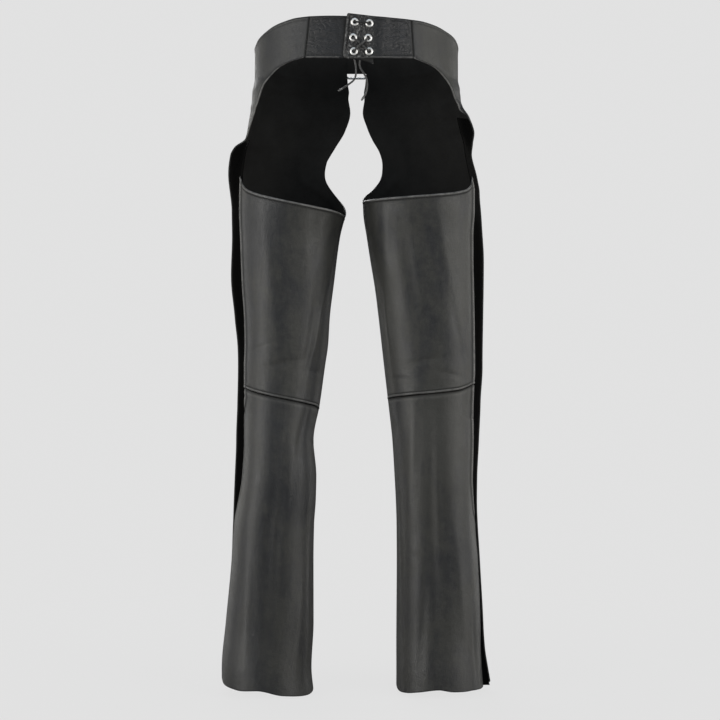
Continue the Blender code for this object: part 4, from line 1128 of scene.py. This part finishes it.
class Nodes:
    """A material's nodes, made and joined in one call each."""

    def __init__(self, name):
        self.material = bpy.data.materials.new(name)
        self.material.use_nodes = True
        self.tree = self.material.node_tree
        self.shader = self.tree.nodes["Principled BSDF"]

    def add(self, kind, inputs=None, **settings):
        node = self.tree.nodes.new("ShaderNode" + kind)
        for key, value in settings.items():
            setattr(node, key, value)
        for key, value in (inputs or {}).items():
            self.put(node.inputs[key], value)
        return node

    def put(self, socket, value):
        if isinstance(value, bpy.types.NodeSocket):
            self.tree.links.new(value, socket)
        else:
            socket.default_value = value

    def noise(self, vector, scale, detail=3, roughness=0.55, distortion=0):
        inputs = {"Vector": vector, "Scale": scale, "Detail": detail, "Roughness": roughness,
                  "Distortion": distortion}
        return self.add("TexNoise", inputs).outputs["Fac"]

    def rerange(self, value, low, high, new_low=0, new_high=1):
        inputs = {"Value": value, 1: low, 2: high, 3: new_low, 4: new_high}
        return self.add("MapRange", inputs).outputs[0]

    def maths(self, operation, first, second=0):
        return self.add("Math", {0: first, 1: second}, operation=operation).outputs[0]

    def product(self, first, *others):
        for value in others:
            first = self.maths("MULTIPLY", first, value)
        return first

    def total(self, *terms):
        """The sum of values, each times its weight."""
        parts = [value if weight == 1 else self.product(value, weight) for value, weight in terms]
        first = parts[0]
        for value in parts[1:]:
            first = self.maths("ADD", first, value)
        return first

    def ridges(self, value, width):
        """0 in the middle of a noise's range, up to 1 at width from there."""
        return self.rerange(self.maths("ABSOLUTE", self.maths("SUBTRACT", value, 0.5)), 0, width)

    def mix(self, share, first, second):
        return self.add("Mix", {"Factor": share, 6: first, 7: second}, data_type="RGBA").outputs[2]

    def scaled(self, colour, scale):
        return self.add("VectorMath", {0: colour, "Scale": scale}, operation="SCALE").outputs[0]

    def attribute(self, name):
        return self.add("Attribute", attribute_name=name).outputs["Fac"]

    def bump(self, height, strength, distance, normal=None):
        inputs = {"Height": height, "Strength": strength, "Distance": distance}
        if normal is not None:
            inputs["Normal"] = normal
        return self.add("Bump", inputs).outputs["Normal"]

    def place(self, stretch=1):
        """Where a point is. A pattern is drawn out in height where stretch is below 1."""
        scale = {"Vector": self.add("TexCoord").outputs["Object"], "Scale": (1, 1, stretch)}
        return self.add("Mapping", scale).outputs["Vector"]

    def finish(self, colour, roughness, normal):
        for name, value in (("Base Color", colour), ("Roughness", roughness), ("Normal", normal)):
            self.put(self.shader.inputs[name], value)
        return self.material


def grey(level, warm=0):
    return (level * (1 + warm), level, level * (1 - warm), 1)


def leather(name, dark, light, worn_and_lit_level, rough, grain, crinkle=0, faded_below=None):
    """Grained leather. dark and light are the ends of its dye, grain is the number of grains in a metre, and
    crinkle is the depth of its small creases. Below the height faded_below it is paler. The worn level is the
    colour of worn edges, and it also paints their highlight. Where the wear attribute is below 0, the colour
    is painted shade."""
    n = Nodes(name)
    place = n.place()
    broad = n.noise(n.place(0.45), 11, 2, 0.5, 0.4)
    cloudy = n.noise(place, 38, 4, 0.6, 0.4)
    streaks = n.noise(n.place(0.16), 120, 3, 0.6)
    mottle = n.noise(place, 130, 4, 0.7)
    fine = n.noise(place, 420, 3, 0.6)
    height = n.add("SeparateXYZ", {0: place}).outputs["Z"]
    wear_with_painted_light, crushed = n.attribute("wear_with_painted_light"), n.attribute("crushed")

    dye = n.total((broad, 0.5), (cloudy, 0.25), (streaks, 0.15), (mottle, 0.1))
    colour = n.mix(n.rerange(dye, 0.44, 0.56), dark, light)
    colour = n.scaled(colour, n.rerange(n.total((mottle, 1), (fine, 1)), 0.8, 1.2, 0.9, 1.1))
    if faded_below is not None:
        colour = n.mix(n.rerange(height, faded_below - 4 * MM, faded_below, 0.9, 0), colour, FADED)
    colour = n.scaled(colour, n.rerange(height, *DARK_HEM))
    inputs = {"Vector": place, "Scale": grain, "Randomness": 0.95}
    valley = n.add("TexVoronoi", inputs, feature="DISTANCE_TO_EDGE").outputs["Distance"]
    valley = n.rerange(valley, 0, 0.22)
    colour = n.mix(n.rerange(valley, 0, 1, 0.35, 0), colour, grey(dark[1] * 0.45))
    patchy = n.rerange(n.noise(place, 90, 3, 0.7), 0.35, 0.6, 0.3, 1)
    # Worn edges lighten the colour: real wear, and a painted highlight on each fold.
    colour = n.mix(n.product(n.rerange(wear_with_painted_light, 0, 1), patchy), colour, grey(worn_and_lit_level, 0.01))
    if crinkle:
        specks = n.rerange(n.noise(place, 360, 2, 0.6), 0.48, 0.6)
        cracks = n.rerange(n.noise(place, 150, 3, 0.6, 0.3), 0.42, 0.56, 0.15, 1)
        colour = n.mix(n.product(crushed, 0.5), colour, grey(0.008))
        colour = n.mix(n.product(specks, cracks, crushed, 0.8), colour, grey(worn_and_lit_level * 1.2))
    # Below 0 the wear attribute darkens and roughens the leather: painted shade in stitch grooves, under the
    # tab and by the inseam, besides dark seams and black edge paint.
    sunk = n.rerange(wear_with_painted_light, -1, 0, 0.85, 0)
    colour = n.mix(sunk, colour, grey(0.002))

    roughness = n.rerange(n.total((cloudy, 1), (fine, 0.5)), 0.5, 1, rough - 0.06, rough + 0.07)
    roughness = n.total((roughness, 1), (valley, -0.05), (sunk, 0.4))
    n.shader.inputs["Specular IOR Level"].default_value = 0.55
    normal = n.bump(valley, 0.35, 0.00022)
    normal = n.bump(fine, 0.35, 0.0003, normal)
    normal = n.bump(n.noise(place, 110, 3, 0.55), 0.4, 0.0011, normal)
    if crinkle:
        normal = n.bump(n.ridges(n.noise(n.place(2.2), 70, 2, 0.5, 0.25), 0.09), 0.5, crinkle, normal)
        lumps = n.product(n.ridges(n.noise(place, 150, 2, 0.5, 0.3), 0.12), crushed)
        normal = n.bump(lumps, 0.9, 2 * crinkle, normal)
    return n.finish(colour, roughness, normal)


def flesh(name, level):
    """The leather's inner side and cut edges: dyed black, with a short nap."""
    n = Nodes(name)
    place = n.place()
    nap = n.noise(place, 900, 4, 0.7)
    cloud = n.noise(place, 30, 4, 0.6)
    n.shader.inputs["Specular IOR Level"].default_value = 0.2
    colour = n.mix(n.rerange(n.total((nap, 1), (cloud, 1)), 0.7, 1.3), grey(level * 0.6), grey(level * 1.5))
    normal = n.bump(nap, 0.5, 0.0006, n.bump(cloud, 0.3, 0.003))
    return n.finish(colour, n.rerange(cloud, 0.3, 0.7, 0.86, 0.97), normal)


def woven_tape(name):
    """Black woven tape: ribs across it and its yarns along it. Its near-black colour is real black tape,
    darkened further as painted shade of the gap between the flap and the back panel.
    """
    n = Nodes(name)
    inputs = {"Vector": n.place(), "Scale": 330, "Distortion": 0.6, "Detail": 1}
    ribs = n.add("TexWave", inputs, bands_direction="Z").outputs["Fac"]
    yarns = n.noise(n.place(0.35), 700, 3, 0.6)
    cloth = n.total((ribs, 0.6), (yarns, 0.4))
    n.shader.inputs["Specular IOR Level"].default_value = 0.06
    colour = n.mix(n.rerange(cloth, 0.2, 0.8), grey(0.0003), grey(0.0014))
    return n.finish(colour, n.rerange(yarns, 0.3, 0.7, 0.85, 1), n.bump(cloth, 0.5, 0.0004))


def nickel(name, level, rough):
    """Nickel plate, lightly handled."""
    n = Nodes(name)
    smear = n.noise(n.place(), 160, 4, 0.6)
    scratches = n.noise(n.place(6), 900, 2, 0.5)
    n.shader.inputs["Metallic"].default_value = 1
    colour = n.mix(n.rerange(smear, 0.35, 0.65), grey(level * 0.92, 0.01), grey(level))
    roughness = n.rerange(smear, 0.3, 0.7, rough - 0.06, rough + 0.08)
    return n.finish(colour, roughness, n.bump(scratches, 0.15, 0.00008))


def thread(name):
    """Bonded black thread, its plies twisted round each other."""
    n = Nodes(name)
    inputs = {"Vector": n.place(), "Scale": 900, "Distortion": 0.4}
    plies = n.add("TexWave", inputs, bands_direction="DIAGONAL").outputs["Fac"]
    colour = n.mix(plies, grey(0.006), grey(0.02))
    return n.finish(colour, n.rerange(plies, 0, 1, 0.6, 0.42), n.bump(plies, 0.4, 0.00015))


def pale_floor():
    """A plain pale floor that fades into the background."""
    n = Nodes("pale_floor")
    place = n.add("TexCoord").outputs["Object"]
    away = n.add("VectorMath", {0: place}, operation="LENGTH").outputs["Value"]
    glow = n.add("Emission", {"Color": grey(BACKGROUND), "Strength": 1})
    plain = n.add("BsdfDiffuse", {"Color": grey(0.8)})
    share = n.rerange(away, 0.1, 1.3, 0.94, 1)
    both = n.add("MixShader", {"Fac": share, 1: plain.outputs[0], 2: glow.outputs[0]})
    n.put(n.tree.nodes["Material Output"].inputs["Surface"], both.outputs[0])
    return n.material


def softbox(name, place, target, size, power, colour):
    data = bpy.data.lights.new(name, "AREA")
    data.shape = "RECTANGLE"
    data.size, data.size_y = size
    data.energy = power
    data.color = colour
    obj = add_object(name, data)
    obj.location = place
    obj.rotation_euler = (Vector(target) - Vector(place)).to_track_quat("-Z", "Y").to_euler()


def make_camera():
    data = bpy.data.cameras.new("camera")
    data.sensor_width = CAMERA_SENSOR
    data.lens = CAMERA_SENSOR * CAMERA_FOCAL / 720
    camera = add_object("camera", data)
    camera.location = CAMERA_PLACE
    camera.rotation_euler = (math.radians(90), 0, math.radians(180))
    bpy.context.scene.camera = camera


def surroundings():
    """The background, the floor, which stands just under the garment, and the lights."""
    scene = bpy.context.scene
    scene.view_settings.view_transform = "Standard"
    scene.world = bpy.data.worlds.new("studio")
    scene.world.use_nodes = True
    tree = scene.world.node_tree
    seen = tree.nodes["Background"]
    seen.inputs["Color"].default_value = grey(BACKGROUND)
    felt = tree.nodes.new("ShaderNodeBackground")
    felt.inputs["Color"].default_value = grey(AMBIENT)
    path = tree.nodes.new("ShaderNodeLightPath")
    choice = tree.nodes.new("ShaderNodeMixShader")
    tree.links.new(path.outputs["Is Camera Ray"], choice.inputs["Fac"])
    tree.links.new(felt.outputs[0], choice.inputs[1])
    tree.links.new(seen.outputs[0], choice.inputs[2])
    tree.links.new(choice.outputs[0], tree.nodes["World Output"].inputs["Surface"])
    mesh = bmesh.new()
    bmesh.ops.create_circle(mesh, cap_ends=True, radius=6, segments=96)
    data = bpy.data.meshes.new("floor")
    mesh.to_mesh(data)
    mesh.free()
    data.materials.append(pale_floor())
    floor = add_object("floor", data)
    floor.location = (0, 0, float(cad_box[0][2]) - FLOOR_GAP)
    floor.visible_diffuse = False
    floor.visible_glossy = False
    for setting in SOFTBOXES:
        softbox(*setting)


def dress():
    make_camera()
    hide = leather("hide", (0.0105, 0.012, 0.0155, 1), (0.0305, 0.031, 0.0285, 1), 0.16, 0.53, 800)
    belt_hide = leather("belt_hide", (0.0035, 0.0042, 0.0065, 1), (0.0115, 0.0128, 0.017, 1), 0.15,
                        0.53, 700, crinkle=0.0007)
    # The held lace is coloured far darker than its free ends. Its darkness is painted shade where it lies on
    # the tab, and its ends are also paler from rubbing.
    shaded_lace_hide = leather("shaded_lace_hide", grey(0.004), grey(0.01), 0.1, 0.42, 1500, faded_below=0.012)
    lace_ends = leather("lace_ends", grey(0.035), grey(0.09), 0.1, 0.5, 1500)
    inside, shaded_black_tape, stitching = flesh("inside", 0.012), woven_tape("shaded_black_tape"), thread("stitching")
    plate, tip_plate = nickel("plate", 0.82, 0.26), nickel("tip_plate", 0.2, 0.45)
    # The barrels' dark plate is painted shade inside the eyelets' holes.
    eyelet_plate, shaded_barrel = nickel("eyelet_plate", 0.9, 0.5), nickel("shaded_barrel", 0.04, 0.6)

    free_ends(lace_ends, tip_plate)
    held_lace(shaded_lace_hide)
    for side in (LEFT, RIGHT):
        looks = (hide, inside)
        panels = front_panel(side, looks), back_panel(side, "thigh", looks), back_panel(side, "calf", looks)
        closure_tape(side, (shaded_black_tape, shaded_black_tape))
        lines = [line for panel in panels for line in panel.lines]
        stitches(side.name + "_stitches", lines, stitching)
    left_belt = belt_half(LEFT, LEFT_BELT_ENDS, LEFT_BELT_FOOT, LEFT_BELT_TOP, (belt_hide, inside))
    right_belt = belt_half(RIGHT, RIGHT_BELT_ENDS, RIGHT_BELT_FOOT, RIGHT_BELT_TOP, (belt_hide, inside))
    cut_holes(left_belt.obj, LACE_RADIUS + LACE_CLEARANCE)
    cut_holes(right_belt.obj, LEATHER_HOLE)
    eyelets(eyelet_plate, shaded_barrel)
    lines = left_belt.lines + right_belt.lines + front_closure((belt_hide, inside), plate)
    stitches("belt_stitches", lines, stitching)
    surroundings()


dress()
bpy.context.view_layer.update()
